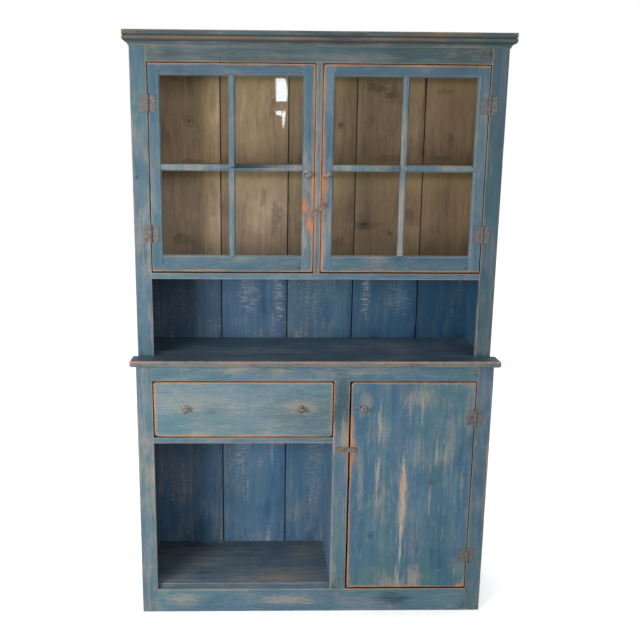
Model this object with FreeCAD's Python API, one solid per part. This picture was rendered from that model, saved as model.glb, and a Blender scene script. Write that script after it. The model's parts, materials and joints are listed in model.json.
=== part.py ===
import FreeCAD, Part

import math
import os

# A painted step back cupboard: a shallow glazed cupboard that stands over an open waist and a
# deeper base with a drawer, an open bay and a door. Its sides are single boards, notched at the
# counter, and one back of ship-lapped boards runs from the floor to the top.
# Millimetres. X runs to the right, Y to the back and Z up. The origin is on the floor, in the
# middle of the width and of the whole depth, knobs included.

os.makedirs("parts", exist_ok=True)

Vector = FreeCAD.Vector

# ---- Driving dimensions: the case ----
case_width = 1118.0
overall_height = 1841.0
counter_height = 864.0
lower_side_depth = 286.0
upper_side_depth = 235.0
side_thickness = 19.0
frame_thickness = 19.0
back_thickness = 19.0
floor_thickness = 19.0
shelf_thickness = 19.0
counter_thickness = 19.0
top_thickness = 19.0
partition_thickness = 19.0

# ---- The face frames and their openings ----
stile_width = 50.0
upper_mullion_width = 19.0
lower_mullion_width = 50.0
drawer_opening_width = 567.5
drawer_opening_height = 185.5
lower_top_rail_height = 49.0
base_rail_height = 80.0
floor_lip = 12.0
waist_height = 246.0
frieze_height = 68.5

# ---- The counter's nosing and the cornice ----
counter_overhang = 18.0
counter_corner_radius = 9.0
counter_nosing_radius = 6.0
cornice_height = 42.0
cornice_projection = 17.5
cornice_fascia = 13.5
cornice_groove_height = 3.0
cornice_groove_depth = 3.0
cornice_band = 10.0
cornice_foot = 2.5
cornice_foot_edge = 1.2
cornice_cove_hollow = 3.0

# ---- The back boards ----
back_board_count = 5
left_board_width = 252.0
back_board_pitch = 225.2
back_board_gap = 4.0
back_board_lap = 8.0

# ---- Gaps round the doors and the drawer ----
side_gap = 3.0
top_gap = 3.5
glazed_bottom_gap = 5.0
lower_lock_gap = 5.5
lower_bottom_gap = 6.0
drawer_bottom_gap = 3.0
door_back_clearance = 0.5

# ---- The glazed doors ----
sash_stile_width = 35.0
sash_top_rail_height = 35.0
sash_bottom_rail_height = 51.0
sash_bar_width = 20.0
sash_chamfer = 5.0
glass_setback = 9.5
glass_thickness = 2.5
rabbet_width = 6.0
pane_clearance = 0.5

# ---- The lower door, its shelf and the drawer ----
batten_height = 60.0
batten_thickness = 16.0
batten_inset = 32.0
lower_shelf_height = 460.0
lower_shelf_setback = 24.0
guide_height = 30.0
drawer_side_thickness = 13.0
drawer_side_height = 165.0
drawer_back_space = 18.0
drawer_running_clearance = 0.3
drawer_bottom_thickness = 7.0
drawer_bottom_rise = 10.0
groove_depth = 5.0
groove_clearance = 0.2

# ---- Hinges ----
hinge_height = 50.8
hinge_end_distance = 115.0
leaf_width = 23.5
leaf_thickness = 1.8
barrel_radius = 3.75
barrel_standoff = 0.2
knuckle_count = 5
knuckle_gap = 0.3
pin_radius = 1.5
pin_running_clearance = 0.05
pin_head_radius = 2.8
pin_head_height = 1.5

# ---- Screws and nails ----
screw_head_radius = 3.0
screw_head_height = 0.9
screw_slot_width = 0.8
screw_slot_depth = 0.5
screw_shank_radius = 1.3
screw_length = 14.0
screw_hole_clearance = 0.2
screw_end_distance = 8.0
outer_screw_reach = 17.5
middle_screw_reach = 11.5
nail_head_radius = 3.5
nail_head_height = 1.0
nail_shank_radius = 1.4
nail_length = 38.0
nail_edge_distance = 30.0
nail_hole_clearance = 0.2

# ---- Knobs ----
knob_projection = 24.0
knob_base_radius = 12.5
knob_base_edge = 1.2
knob_base_height = 4.5
knob_base_hollow = 0.8
knob_neck_radius = 4.5
knob_neck_length = 4.0
knob_flare_length = 9.0
knob_flare_hollow = 1.0
knob_face_radius = 8.5
knob_face_edge = 3.5
knob_shank_radius = 2.4
knob_shank_length = 14.0
knob_hole_clearance = 0.2
sash_knob_height = 295.0
lower_knob_inset = 38.0
lower_knob_drop = 87.0
drawer_knob_inset = 99.5

# ---- Turn buttons ----
upper_button_short_end = 25.0
upper_button_long_end = 34.0
upper_button_width = 13.5
lower_button_short_end = 30.0
lower_button_long_end = 36.5
lower_button_width = 15.0
button_thickness = 4.5
button_rim = 2.2
button_recess = 1.2
button_rib_width = 2.2
button_boss_radius = 4.6
button_standoff = 0.6
button_screw_radius = 2.1
button_running_clearance = 0.05
button_screw_head_radius = 4.2
button_screw_head_height = 2.2
button_screw_slot_depth = 1.1
button_screw_length = 16.0
upper_button_tilt = 36.5
upper_button_height = 189.0
lower_button_drop = 222.0
lower_button_inset = 11.5

# ---- Planes and heights that follow ----
half_width = case_width / 2
inner_half = half_width - side_thickness
opening_half = half_width - stile_width
lower_depth = frame_thickness + lower_side_depth
foremost = max(knob_projection, counter_overhang)
lower_front = (foremost - lower_depth - back_thickness) / 2
upper_front = lower_front + lower_side_depth - upper_side_depth
frame_back_lower = lower_front + frame_thickness
frame_back_upper = upper_front + frame_thickness
back_plane = lower_front + lower_depth
rear_plane = back_plane + back_thickness

case_top_under = overall_height - top_thickness
counter_under = counter_height - counter_thickness
floor_top = base_rail_height + floor_lip
lower_opening_top = counter_under - lower_top_rail_height
drawer_opening_bottom = lower_opening_top - drawer_opening_height
cupboard_floor_under = counter_height + waist_height
cupboard_floor_top = cupboard_floor_under + floor_thickness
glazed_opening_top = case_top_under - frieze_height

mullion_left = -opening_half + drawer_opening_width
mullion_right = mullion_left + lower_mullion_width
partition_left = mullion_left
partition_right = partition_left + partition_thickness

door_thickness = frame_thickness - door_back_clearance
sash_bottom = cupboard_floor_top + glazed_bottom_gap
sash_top = glazed_opening_top - top_gap
sash_near = upper_mullion_width / 2 + side_gap
sash_far = opening_half - side_gap
lights_bottom = sash_bottom + sash_bottom_rail_height
lights_top = sash_top - sash_top_rail_height
sash_bar_middle = (lights_bottom + lights_top) / 2
sash_knob_level = sash_bottom + sash_knob_height

lower_door_left = mullion_right + lower_lock_gap
lower_door_right = opening_half - side_gap
lower_door_bottom = base_rail_height + lower_bottom_gap
lower_door_top = lower_opening_top - top_gap

hinge_axis = opening_half - side_gap / 2
pin_setout = barrel_standoff + barrel_radius
knob_level = lower_opening_top - top_gap - lower_knob_drop
upper_button_level = sash_bottom + upper_button_height
lower_button_level = lower_door_top - lower_button_drop
lower_button_x = mullion_right - lower_button_inset


def box(x0, x1, y0, y1, z0, z1):
    """A block between six planes."""
    return Part.makeBox(x1 - x0, y1 - y0, z1 - z0, Vector(x0, y0, z0))


def rod(x, z, radius, y0, y1):
    """A round bar that runs from front to back."""
    return Part.makeCylinder(radius, y1 - y0, Vector(x, y0, z), Vector(0, 1, 0))


def plan_board(points, z0, z1):
    """A board whose outline is drawn in plan."""
    outline = [Vector(x, y, z0) for x, y in points]
    outline.append(outline[0])
    return Part.Face(Part.makePolygon(outline)).extrude(Vector(0, 0, z1 - z0))


def mirrored(shape):
    """The same piece on the other side of the middle."""
    return shape.mirror(Vector(0, 0, 0), Vector(1, 0, 0))


def bowed(a, b, swell):
    """The middle of an arc from a to b, which stands off its chord to the left by swell."""
    chord = b - a
    sideways = Vector(-chord.y, chord.x, 0).normalize()
    return (a + b) / 2 + sideways * swell


def group(shapes):
    """Separate solids that share one node."""
    return Part.makeCompound(shapes)


# ---- Fasteners ----

def screw(x, z, seat, radius, head_radius, head_height, slot_depth, length):
    """A slotted screw driven to the back, whose head sits on the plane y = seat."""
    body = rod(x, z, head_radius, seat - head_height, seat)
    body = body.fuse(rod(x, z, radius, seat, seat + length))
    half_slot = screw_slot_width / 2
    slot_floor = seat - head_height + slot_depth
    slot = box(x - half_slot, x + half_slot, seat - 2 * head_height, slot_floor,
               z - 2 * head_radius, z + 2 * head_radius)
    return body.cut(slot)


def hinge_screw(x, z, face):
    """A small screw that holds a leaf to the wood behind it."""
    return screw(x, z, face - leaf_thickness, screw_shank_radius, screw_head_radius,
                 screw_head_height, screw_slot_depth, screw_length + leaf_thickness)


def hinge_screw_hole(x, z, face):
    """The hole for a hinge screw, through the leaf and into the wood."""
    radius = screw_shank_radius + screw_hole_clearance
    return rod(x, z, radius, face - leaf_thickness, face + screw_length + screw_hole_clearance)


def nail(x, z):
    """A nail through a back board, its head flush with the back."""
    head_seat = rear_plane - nail_head_height
    head = rod(x, z, nail_head_radius, head_seat, rear_plane)
    shank = rod(x, z, nail_shank_radius, rear_plane - nail_length, head_seat)
    return head.fuse(shank)


def nail_hole(x, z):
    """The hole for a nail and the pocket for its head."""
    head_seat = rear_plane - nail_head_height
    pocket = rod(x, z, nail_head_radius + nail_hole_clearance, head_seat, rear_plane)
    tip = rear_plane - nail_length - nail_hole_clearance
    return pocket.fuse(rod(x, z, nail_shank_radius + nail_hole_clearance, tip, head_seat))


# ---- Hinges ----

def leaf_screw_places(pin_x, middle, side):
    """Where the three screws of a leaf stand."""
    reach = hinge_height / 2 - screw_end_distance
    return [(pin_x + side * outer_screw_reach, middle + reach),
            (pin_x + side * middle_screw_reach, middle),
            (pin_x + side * outer_screw_reach, middle - reach)]


def hinge_leaf(pin_x, face, middle, side, first_knuckle):
    """A leaf that lies on the plane y = face, on one side of its pin."""
    pin_y = face - pin_setout
    bottom = middle - hinge_height / 2
    pitch = hinge_height / knuckle_count
    near = pin_x + side * (barrel_radius + knuckle_gap)
    far = pin_x + side * leaf_width
    leaf = box(min(near, far), max(near, far), face - leaf_thickness, face,
               bottom, bottom + hinge_height)
    for number in range(first_knuckle, knuckle_count, 2):
        low = bottom + number * pitch
        high = low + pitch
        if number > 0:
            low = low + knuckle_gap / 2
        if number < knuckle_count - 1:
            high = high - knuckle_gap / 2
        knuckle = Part.makeCylinder(barrel_radius, high - low, Vector(pin_x, pin_y, low))
        web = box(min(pin_x, near), max(pin_x, near), face - leaf_thickness, face, low, high)
        leaf = leaf.fuse(knuckle).fuse(web)
    bore_radius = pin_radius + pin_running_clearance
    leaf = leaf.cut(Part.makeCylinder(bore_radius, hinge_height, Vector(pin_x, pin_y, bottom)))
    for x, z in leaf_screw_places(pin_x, middle, side):
        leaf = leaf.cut(hinge_screw_hole(x, z, face))
    return leaf.removeSplitter()


def hinge_pin(pin_x, face, middle):
    """The pin and its two peened heads."""
    pin_y = face - pin_setout
    bottom = middle - hinge_height / 2
    pin = Part.makeCylinder(pin_radius, hinge_height, Vector(pin_x, pin_y, bottom))
    for low in (bottom - pin_head_height, bottom + hinge_height):
        head = Part.makeCylinder(pin_head_radius, pin_head_height, Vector(pin_x, pin_y, low))
        pin = pin.fuse(head)
    return pin


class HingePair:
    """The two butt hinges of one door, laid on the faces of the frame and of the door."""

    def __init__(self, pin_x, face, door_bottom, door_top, door_side):
        self.frame_leaves = []
        self.door_leaves = []
        self.pins = []
        self.frame_screws = []
        self.door_screws = []
        self.frame_holes = []
        self.door_holes = []
        for middle in (door_bottom + hinge_end_distance, door_top - hinge_end_distance):
            self.frame_leaves.append(hinge_leaf(pin_x, face, middle, -door_side, 0))
            self.door_leaves.append(hinge_leaf(pin_x, face, middle, door_side, 1))
            self.pins.append(hinge_pin(pin_x, face, middle))
            for x, z in leaf_screw_places(pin_x, middle, -door_side):
                self.frame_screws.append(hinge_screw(x, z, face))
                self.frame_holes.append(hinge_screw_hole(x, z, face))
            for x, z in leaf_screw_places(pin_x, middle, door_side):
                self.door_screws.append(hinge_screw(x, z, face))
                self.door_holes.append(hinge_screw_hole(x, z, face))


left_hinges = HingePair(-hinge_axis, upper_front, sash_bottom, sash_top, 1)
right_hinges = HingePair(hinge_axis, upper_front, sash_bottom, sash_top, -1)
lower_hinges = HingePair(hinge_axis, lower_front, lower_door_bottom, lower_door_top, -1)


# ---- Knobs and turn buttons ----

def dome_middle(rim, top):
    """The middle of the arc from rim to top whose centre lies on the Y axis, where top is."""
    height = rim.y - top.y
    radius = (rim.x ** 2 + height ** 2) / (2 * height)
    half_angle = math.atan2(rim.x, radius - height) / 2
    return Vector(radius * math.sin(half_angle), top.y + radius * (1 - math.cos(half_angle)), 0)


def knob(x, face, z):
    """A small turned knob: a round foot, a neck, a flared face, and a shank in the wood."""
    neck_start = -knob_base_height
    neck_end = neck_start - knob_neck_length
    flare_end = neck_end - knob_flare_length
    rim_end = flare_end - knob_face_edge
    tip = Vector(0, knob_shank_length, 0)
    tip_edge = Vector(knob_shank_radius, knob_shank_length, 0)
    seat = Vector(knob_shank_radius, 0, 0)
    foot = Vector(knob_base_radius, 0, 0)
    foot_edge = Vector(knob_base_radius, -knob_base_edge, 0)
    neck = Vector(knob_neck_radius, neck_start, 0)
    neck_top = Vector(knob_neck_radius, neck_end, 0)
    flare = Vector(knob_face_radius, flare_end, 0)
    rim = Vector(knob_face_radius, rim_end, 0)
    dome = Vector(0, -knob_projection, 0)
    edges = [
        Part.LineSegment(tip, tip_edge).toShape(),
        Part.LineSegment(tip_edge, seat).toShape(),
        Part.LineSegment(seat, foot).toShape(),
        Part.LineSegment(foot, foot_edge).toShape(),
        Part.Arc(foot_edge, bowed(foot_edge, neck, -knob_base_hollow), neck).toShape(),
        Part.LineSegment(neck, neck_top).toShape(),
        Part.Arc(neck_top, bowed(neck_top, flare, -knob_flare_hollow), flare).toShape(),
        Part.LineSegment(flare, rim).toShape(),
        Part.Arc(rim, dome_middle(rim, dome), dome).toShape(),
        Part.LineSegment(dome, tip).toShape(),
    ]
    turned = Part.Face(Part.Wire(edges)).revolve(Vector(0, 0, 0), Vector(0, 1, 0), 360)
    turned.translate(Vector(x, face, z))
    return turned


def knob_hole(x, face, z):
    """The hole that a knob's shank is driven into."""
    depth = knob_shank_length + knob_hole_clearance
    return rod(x, z, knob_shank_radius + knob_hole_clearance, face, face + depth)


def round_ended_bar(short_end, long_end, width, y0, y1):
    """A flat bar along X with round ends, which reach to -short_end and long_end."""
    radius = width / 2
    left = radius - short_end
    right = long_end - radius
    edges = [
        Part.LineSegment(Vector(left, y0, radius), Vector(right, y0, radius)).toShape(),
        Part.Arc(Vector(right, y0, radius), Vector(long_end, y0, 0),
                 Vector(right, y0, -radius)).toShape(),
        Part.LineSegment(Vector(right, y0, -radius), Vector(left, y0, -radius)).toShape(),
        Part.Arc(Vector(left, y0, -radius), Vector(-short_end, y0, 0),
                 Vector(left, y0, radius)).toShape(),
    ]
    return Part.Face(Part.Wire(edges)).extrude(Vector(0, y1 - y0, 0))


def turn_button(x, face, z, short_end, long_end, width, tilt):
    """A cast bar that turns on a screw and holds a door shut. A low boss keeps it off the door."""
    back = -button_standoff
    front = back - button_thickness
    field = front + button_recess
    rim = button_rim
    half_rib = button_rib_width / 2
    bar = round_ended_bar(short_end, long_end, width, front, back)
    bar = bar.cut(round_ended_bar(short_end - rim, long_end - rim, width - 2 * rim, front, field))
    bar = bar.fuse(box(rim - short_end, long_end - rim, front, field, -half_rib, half_rib))
    bar = bar.fuse(rod(0, 0, button_boss_radius, front, 0))
    bar = bar.cut(rod(0, 0, button_screw_radius + button_running_clearance, front, 0))
    bar = bar.removeSplitter()
    bar.rotate(Vector(0, 0, 0), Vector(0, -1, 0), tilt)
    bar.translate(Vector(x, face, z))
    return bar


def button_screw(x, face, z):
    """The round-headed screw that a turn button turns on."""
    seat = face - button_standoff - button_thickness - 2 * button_running_clearance
    return screw(x, z, seat, button_screw_radius, button_screw_head_radius,
                 button_screw_head_height, button_screw_slot_depth, face - seat + button_screw_length)


def button_screw_hole(x, face, z):
    """The hole that a button's screw is driven into."""
    depth = button_screw_length + screw_hole_clearance
    return rod(x, z, button_screw_radius + screw_hole_clearance, face, face + depth)


# ---- The back, its nails and the places they go ----

def back_board_lines():
    """The lines between the back boards, from the left side of the case to the right."""
    lines = [-half_width]
    for number in range(back_board_count - 1):
        lines.append(-half_width + left_board_width + number * back_board_pitch)
    lines.append(half_width)
    return lines


def nail_columns():
    """How far across the nails stand: two in each board."""
    columns = []
    lines = back_board_lines()
    for left, right in zip(lines, lines[1:]):
        columns.append(left + nail_edge_distance)
        columns.append(right - nail_edge_distance)
    return columns


nail_rows = {
    "lower_floor": floor_top - floor_thickness / 2,
    "counter_top": counter_height - counter_thickness / 2,
    "cupboard_floor": cupboard_floor_top - floor_thickness / 2,
    "glazed_shelf": sash_bar_middle,
    "case_top": overall_height - top_thickness / 2,
}


def nailed(board, row):
    """A board with the holes of its row of nails in its back edge."""
    return board.cut(group([nail_hole(x, nail_rows[row]) for x in nail_columns()]))


def back_boards():
    """Ship-lapped boards: the back half of each reaches behind the next one to the right."""
    boards = {}
    lines = back_board_lines()
    lap_plane = back_plane + back_thickness / 2
    half_gap = back_board_gap / 2
    for number in range(back_board_count):
        left = lines[number] + (half_gap if number > 0 else 0)
        right = lines[number + 1] - (half_gap if number < back_board_count - 1 else 0)
        back_left = left + (back_board_lap if number > 0 else 0)
        back_right = right + (back_board_lap if number < back_board_count - 1 else 0)
        outline = [(left, back_plane), (right, back_plane), (right, lap_plane),
                   (back_right, lap_plane), (back_right, rear_plane), (back_left, rear_plane),
                   (back_left, lap_plane), (left, lap_plane)]
        if number == 0:
            outline = outline[:6]
        if number == back_board_count - 1:
            outline = outline[:2] + outline[4:]
        board = plan_board(outline, 0, overall_height)
        own_holes = [nail_hole(x, z) for x in nail_columns() for z in nail_rows.values()
                     if left < x < right]
        boards["back_board_%d" % (number + 1)] = board.cut(group(own_holes))
    return boards


# ---- The case ----

def case_sides():
    """Each side is one board, cut back above the counter to make the step."""
    lower = box(inner_half, half_width, frame_back_lower, back_plane, 0, counter_under)
    upper = box(inner_half, half_width, frame_back_upper, back_plane, 0, case_top_under)
    right = lower.fuse(upper).removeSplitter()
    return {"side_left": mirrored(right), "side_right": right}


def lower_face_frame():
    """The stiles and rails round the drawer, the open bay and the lower door."""
    front = lower_front
    back = frame_back_lower
    left = box(-half_width, -opening_half, front, back, 0, counter_under)
    right = box(opening_half, half_width, front, back, 0, counter_under)
    right = right.cut(group(lower_hinges.frame_holes))
    mullion = box(mullion_left, mullion_right, front, back, base_rail_height, lower_opening_top)
    mullion = mullion.cut(button_screw_hole(lower_button_x, lower_front, lower_button_level))
    top_rail = box(-opening_half, opening_half, front, back, lower_opening_top, counter_under)
    base_rail = box(-opening_half, opening_half, front, back, 0, base_rail_height)
    return {"lower_stile_left": left, "lower_stile_right": right, "lower_mullion": mullion,
            "lower_top_rail": top_rail, "base_rail": base_rail}


def upper_face_frame():
    """The stiles, the mullion and the frieze rail round the two glazed doors."""
    front = upper_front
    back = frame_back_upper
    left = box(-half_width, -opening_half, front, back, counter_height, case_top_under)
    right = box(opening_half, half_width, front, back, counter_height, case_top_under)
    left = left.cut(group(left_hinges.frame_holes))
    right = right.cut(group(right_hinges.frame_holes))
    half_mullion = upper_mullion_width / 2
    mullion = box(-half_mullion, half_mullion, front, back, cupboard_floor_top, glazed_opening_top)
    mullion = mullion.cut(button_screw_hole(0, upper_front, upper_button_level))
    frieze = box(-opening_half, opening_half, front, back, glazed_opening_top, case_top_under)
    return {"upper_stile_left": left, "upper_stile_right": right, "upper_mullion": mullion,
            "frieze_rail": frieze}


def counter_top():
    """One board: ears in front of the case, and a tongue that runs in between the sides."""
    front = lower_front - counter_overhang
    ear = half_width + counter_overhang
    right_side = [(ear, front), (ear, upper_front), (half_width, upper_front),
                  (half_width, frame_back_upper), (inner_half, frame_back_upper),
                  (inner_half, back_plane)]
    left_side = [(-x, y) for x, y in reversed(right_side)]
    board = plan_board(right_side + left_side, counter_under, counter_height)
    corners = [edge for edge in board.Edges
               if edge.BoundBox.ZLength > 1 and edge.BoundBox.YMax < front + 1]
    board = board.makeFillet(counter_corner_radius, corners)
    nosing = [edge for edge in board.Edges
              if edge.BoundBox.ZLength < 1
              and (edge.BoundBox.YMax < front + counter_corner_radius + 1
                   or edge.BoundBox.XMin > ear - 1 or edge.BoundBox.XMax < 1 - ear)]
    board = board.makeFillet(counter_nosing_radius, nosing)
    return {"counter_top": nailed(board, "counter_top")}


def notched_floor(front, frame_back, left_opening, right_opening, left, right, z0, z1):
    """A board that shows its edge between two stiles and is wider behind them."""
    outline = [(left_opening, front), (right_opening, front), (right_opening, frame_back),
               (right, frame_back), (right, back_plane), (left, back_plane),
               (left, frame_back), (left_opening, frame_back)]
    return plan_board(outline, z0, z1)


def floors_and_shelves():
    """The boards that lie between the sides."""
    lower_floor = box(-inner_half, inner_half, frame_back_lower, back_plane,
                      floor_top - floor_thickness, floor_top)
    cupboard_floor = notched_floor(upper_front, frame_back_upper, -opening_half, opening_half,
                                   -inner_half, inner_half, cupboard_floor_under,
                                   cupboard_floor_top)
    drawer_shelf = notched_floor(lower_front, frame_back_lower, -opening_half, mullion_left,
                                 -inner_half, partition_left,
                                 drawer_opening_bottom - shelf_thickness, drawer_opening_bottom)
    half_shelf = shelf_thickness / 2
    glazed_shelf = box(-inner_half, inner_half, frame_back_upper, back_plane,
                       sash_bar_middle - half_shelf, sash_bar_middle + half_shelf)
    shelf_front = frame_back_lower + batten_thickness + lower_shelf_setback
    lower_shelf = box(partition_right, inner_half, shelf_front, back_plane,
                      lower_shelf_height - half_shelf, lower_shelf_height + half_shelf)
    partition = box(partition_left, partition_right, frame_back_lower, back_plane,
                    floor_top, counter_under)
    top = box(-half_width, half_width, upper_front, back_plane, case_top_under, overall_height)
    return {"lower_floor": nailed(lower_floor, "lower_floor"),
            "cupboard_floor": nailed(cupboard_floor, "cupboard_floor"),
            "drawer_shelf": drawer_shelf,
            "glazed_shelf": nailed(glazed_shelf, "glazed_shelf"),
            "lower_shelf": lower_shelf,
            "partition": partition,
            "case_top": nailed(top, "case_top")}


def drawer_guide():
    """A strip that fills the space beside the drawer, behind the left stile."""
    return {"drawer_guide": box(-inner_half, -opening_half, frame_back_lower, back_plane,
                                drawer_opening_bottom, drawer_opening_bottom + guide_height)}


def cornice_length(start, along, out):
    """The moulding run along one direction, from a start point, standing out another way."""
    foot = overall_height - cornice_height
    fascia_foot = overall_height - cornice_fascia
    band_top = fascia_foot - cornice_groove_height
    band_foot = band_top - cornice_band
    cove_top = band_foot - cornice_groove_height
    groove_out = cornice_projection - cornice_groove_depth
    cove_foot = Vector(cornice_foot, foot + cornice_foot_edge, 0)
    cove_head = Vector(groove_out, cove_top, 0)
    cove_middle = bowed(cove_foot, cove_head, cornice_cove_hollow)

    def placed(distance, height):
        return start + out * distance + Vector(0, 0, height)

    corners = [placed(cove_head.x, cove_head.y),
               placed(groove_out, band_foot), placed(cornice_projection, band_foot),
               placed(cornice_projection, band_top), placed(groove_out, band_top),
               placed(groove_out, fascia_foot), placed(cornice_projection, fascia_foot),
               placed(cornice_projection, overall_height), placed(0, overall_height),
               placed(0, foot), placed(cornice_foot, foot), placed(cove_foot.x, cove_foot.y)]
    cove = Part.Arc(corners[-1], placed(cove_middle.x, cove_middle.y), corners[0])
    edges = [cove.toShape()]
    for a, b in zip(corners, corners[1:]):
        edges.append(Part.LineSegment(a, b).toShape())
    return Part.Face(Part.Wire(edges)).extrude(along)


def cornice():
    """The front moulding and its two returns, mitred at the corners."""
    reach = half_width + cornice_projection
    front = upper_front - cornice_projection
    foot = overall_height - cornice_height
    full_front = cornice_length(Vector(-reach, upper_front, 0), Vector(2 * reach, 0, 0),
                                Vector(0, -1, 0))
    front_region = plan_board([(-reach, front), (reach, front), (half_width, upper_front),
                               (-half_width, upper_front)], foot, overall_height)
    full_return = cornice_length(Vector(half_width, front, 0), Vector(0, rear_plane - front, 0),
                                 Vector(1, 0, 0))
    return_region = plan_board([(half_width, upper_front), (reach, front), (reach, rear_plane),
                                (half_width, rear_plane)], foot, overall_height)
    right = full_return.common(return_region)
    return {"cornice_front": full_front.common(front_region),
            "cornice_left": mirrored(right), "cornice_right": right}


# ---- The doors ----

def sash_light_cuts(x0, x1, z0, z1):
    """What one light takes out of a sash: the hole, its chamfer in front, its rabbet behind."""
    hole = box(x0, x1, upper_front, upper_front + door_thickness, z0, z1)
    c = sash_chamfer
    chamfer = Part.makeWedge(x0 - c, upper_front, z0 - c, z0, x0,
                             x1 + c, upper_front + c, z1 + c, z1, x1)
    r = rabbet_width
    rabbet = box(x0 - r, x1 + r, upper_front + glass_setback, upper_front + door_thickness,
                 z0 - r, z1 + r)
    return [hole, chamfer, rabbet]


def glazed_door(prefix, hinges, mirror_it):
    """A sash of two stiles, two rails, crossed bars and four panes, hung at its far stile."""
    back = upper_front + door_thickness
    half_bar = sash_bar_width / 2
    inner_left = sash_near + sash_stile_width
    inner_right = sash_far - sash_stile_width
    bar_x = (inner_left + inner_right) / 2
    columns = [(inner_left, bar_x - half_bar), (bar_x + half_bar, inner_right)]
    rows = [(lights_bottom, sash_bar_middle - half_bar), (sash_bar_middle + half_bar, lights_top)]
    sash = box(sash_near, sash_far, upper_front, back, sash_bottom, sash_top)
    panes = []
    grow = rabbet_width - pane_clearance
    pane_front = upper_front + glass_setback
    for x0, x1 in columns:
        for z0, z1 in rows:
            for cut in sash_light_cuts(x0, x1, z0, z1):
                sash = sash.cut(cut)
            panes.append(box(x0 - grow, x1 + grow, pane_front, pane_front + glass_thickness,
                             z0 - grow, z1 + grow))

    def piece(x0, x1, z0, z1):
        return sash.common(box(x0, x1, upper_front, back, z0, z1))

    lock_stile = piece(sash_near, inner_left, sash_bottom, sash_top)
    hinge_stile = piece(inner_right, sash_far, sash_bottom, sash_top)
    top_rail = piece(inner_left, inner_right, lights_top, sash_top)
    bottom_rail = piece(inner_left, inner_right, sash_bottom, lights_bottom)
    bars = [piece(bar_x - half_bar, bar_x + half_bar, lights_bottom, lights_top)]
    for x0, x1 in columns:
        bars.append(piece(x0, x1, sash_bar_middle - half_bar, sash_bar_middle + half_bar))
    knob_x = sash_near + sash_stile_width / 2
    lock_stile = lock_stile.cut(knob_hole(knob_x, upper_front, sash_knob_level))
    pieces = {"lock_stile": lock_stile, "hinge_stile": hinge_stile, "top_rail": top_rail,
              "bottom_rail": bottom_rail, "bars": group(bars), "panes": group(panes),
              "knob": knob(knob_x, upper_front, sash_knob_level)}
    if mirror_it:
        pieces = {name: mirrored(shape) for name, shape in pieces.items()}
    pieces["hinge_stile"] = pieces["hinge_stile"].cut(group(hinges.door_holes))
    pieces["hinge_leaves"] = group(hinges.door_leaves + hinges.door_screws)
    return {prefix + "_" + name: shape for name, shape in pieces.items()}


def lower_door():
    """A plain board door with two battens across its back."""
    back = lower_front + door_thickness
    knob_x = lower_door_left + lower_knob_inset
    panel = box(lower_door_left, lower_door_right, lower_front, back,
                lower_door_bottom, lower_door_top)
    panel = panel.cut(group(lower_hinges.door_holes))
    panel = panel.cut(knob_hole(knob_x, lower_front, knob_level))
    half_batten = batten_height / 2
    battens = []
    for middle in (lower_door_bottom + hinge_end_distance, lower_door_top - hinge_end_distance):
        battens.append(box(lower_door_left + batten_inset, lower_door_right - batten_inset,
                           back, back + batten_thickness,
                           middle - half_batten, middle + half_batten))
    return {"lower_door_panel": panel, "lower_door_battens": group(battens),
            "lower_door_knob": knob(knob_x, lower_front, knob_level),
            "lower_door_hinge_leaves": group(lower_hinges.door_leaves + lower_hinges.door_screws)}


# ---- The drawer ----

def drawer():
    """A nailed drawer whose bottom slides in grooves and runs out under its back."""
    left = -opening_half + side_gap
    right = mullion_left - side_gap
    front_back = lower_front + frame_thickness
    end = back_plane - drawer_back_space
    low = drawer_opening_bottom + drawer_running_clearance
    high = low + drawer_side_height
    panel_low = low + drawer_bottom_rise
    panel_high = panel_low + drawer_bottom_thickness
    inner_left = left + drawer_side_thickness
    inner_right = right - drawer_side_thickness
    groove = box(inner_left - groove_depth, inner_right + groove_depth,
                 front_back - groove_depth, end, panel_low - groove_clearance,
                 panel_high + groove_clearance)
    front = box(left, right, lower_front, front_back,
                drawer_opening_bottom + drawer_bottom_gap, lower_opening_top - top_gap)
    knob_places = (left + drawer_knob_inset, right - drawer_knob_inset)
    front = front.cut(groove)
    for x in knob_places:
        front = front.cut(knob_hole(x, lower_front, knob_level))
    side_left = box(left, inner_left, front_back, end, low, high).cut(groove)
    side_right = box(inner_right, right, front_back, end, low, high).cut(groove)
    back = box(inner_left, inner_right, end - drawer_side_thickness, end, panel_high, high)
    edge = groove_depth - groove_clearance
    bottom = box(inner_left - edge, inner_right + edge, front_back - edge, end,
                 panel_low, panel_high)
    knobs = [knob(x, lower_front, knob_level) for x in knob_places]
    return {"drawer_front": front, "drawer_side_left": side_left,
            "drawer_side_right": side_right, "drawer_back": back, "drawer_bottom": bottom,
            "drawer_knobs": group(knobs)}


# ---- Fittings that stay on the case ----

def case_fittings():
    """The hinges' frame leaves and pins, all the screws in the case, and the nails."""
    pairs = (left_hinges, right_hinges, lower_hinges)
    leaves = []
    pins = []
    screws = []
    for pair in pairs:
        leaves.extend(pair.frame_leaves)
        pins.extend(pair.pins)
        screws.extend(pair.frame_screws)
    screws.append(button_screw(0, upper_front, upper_button_level))
    screws.append(button_screw(lower_button_x, lower_front, lower_button_level))
    nails = [nail(x, z) for x in nail_columns() for z in nail_rows.values()]
    return {"hinge_frame_leaves": group(leaves), "hinge_pins": group(pins),
            "case_screws": group(screws), "back_nails": group(nails)}


def turn_buttons():
    """The two turn buttons, each a moving piece of its own."""
    upper = turn_button(0, upper_front, upper_button_level, upper_button_short_end,
                        upper_button_long_end, upper_button_width, upper_button_tilt)
    lower = turn_button(lower_button_x, lower_front, lower_button_level, lower_button_short_end,
                        lower_button_long_end, lower_button_width, 0)
    return {"upper_turn_button": upper, "lower_turn_button": lower}


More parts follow.
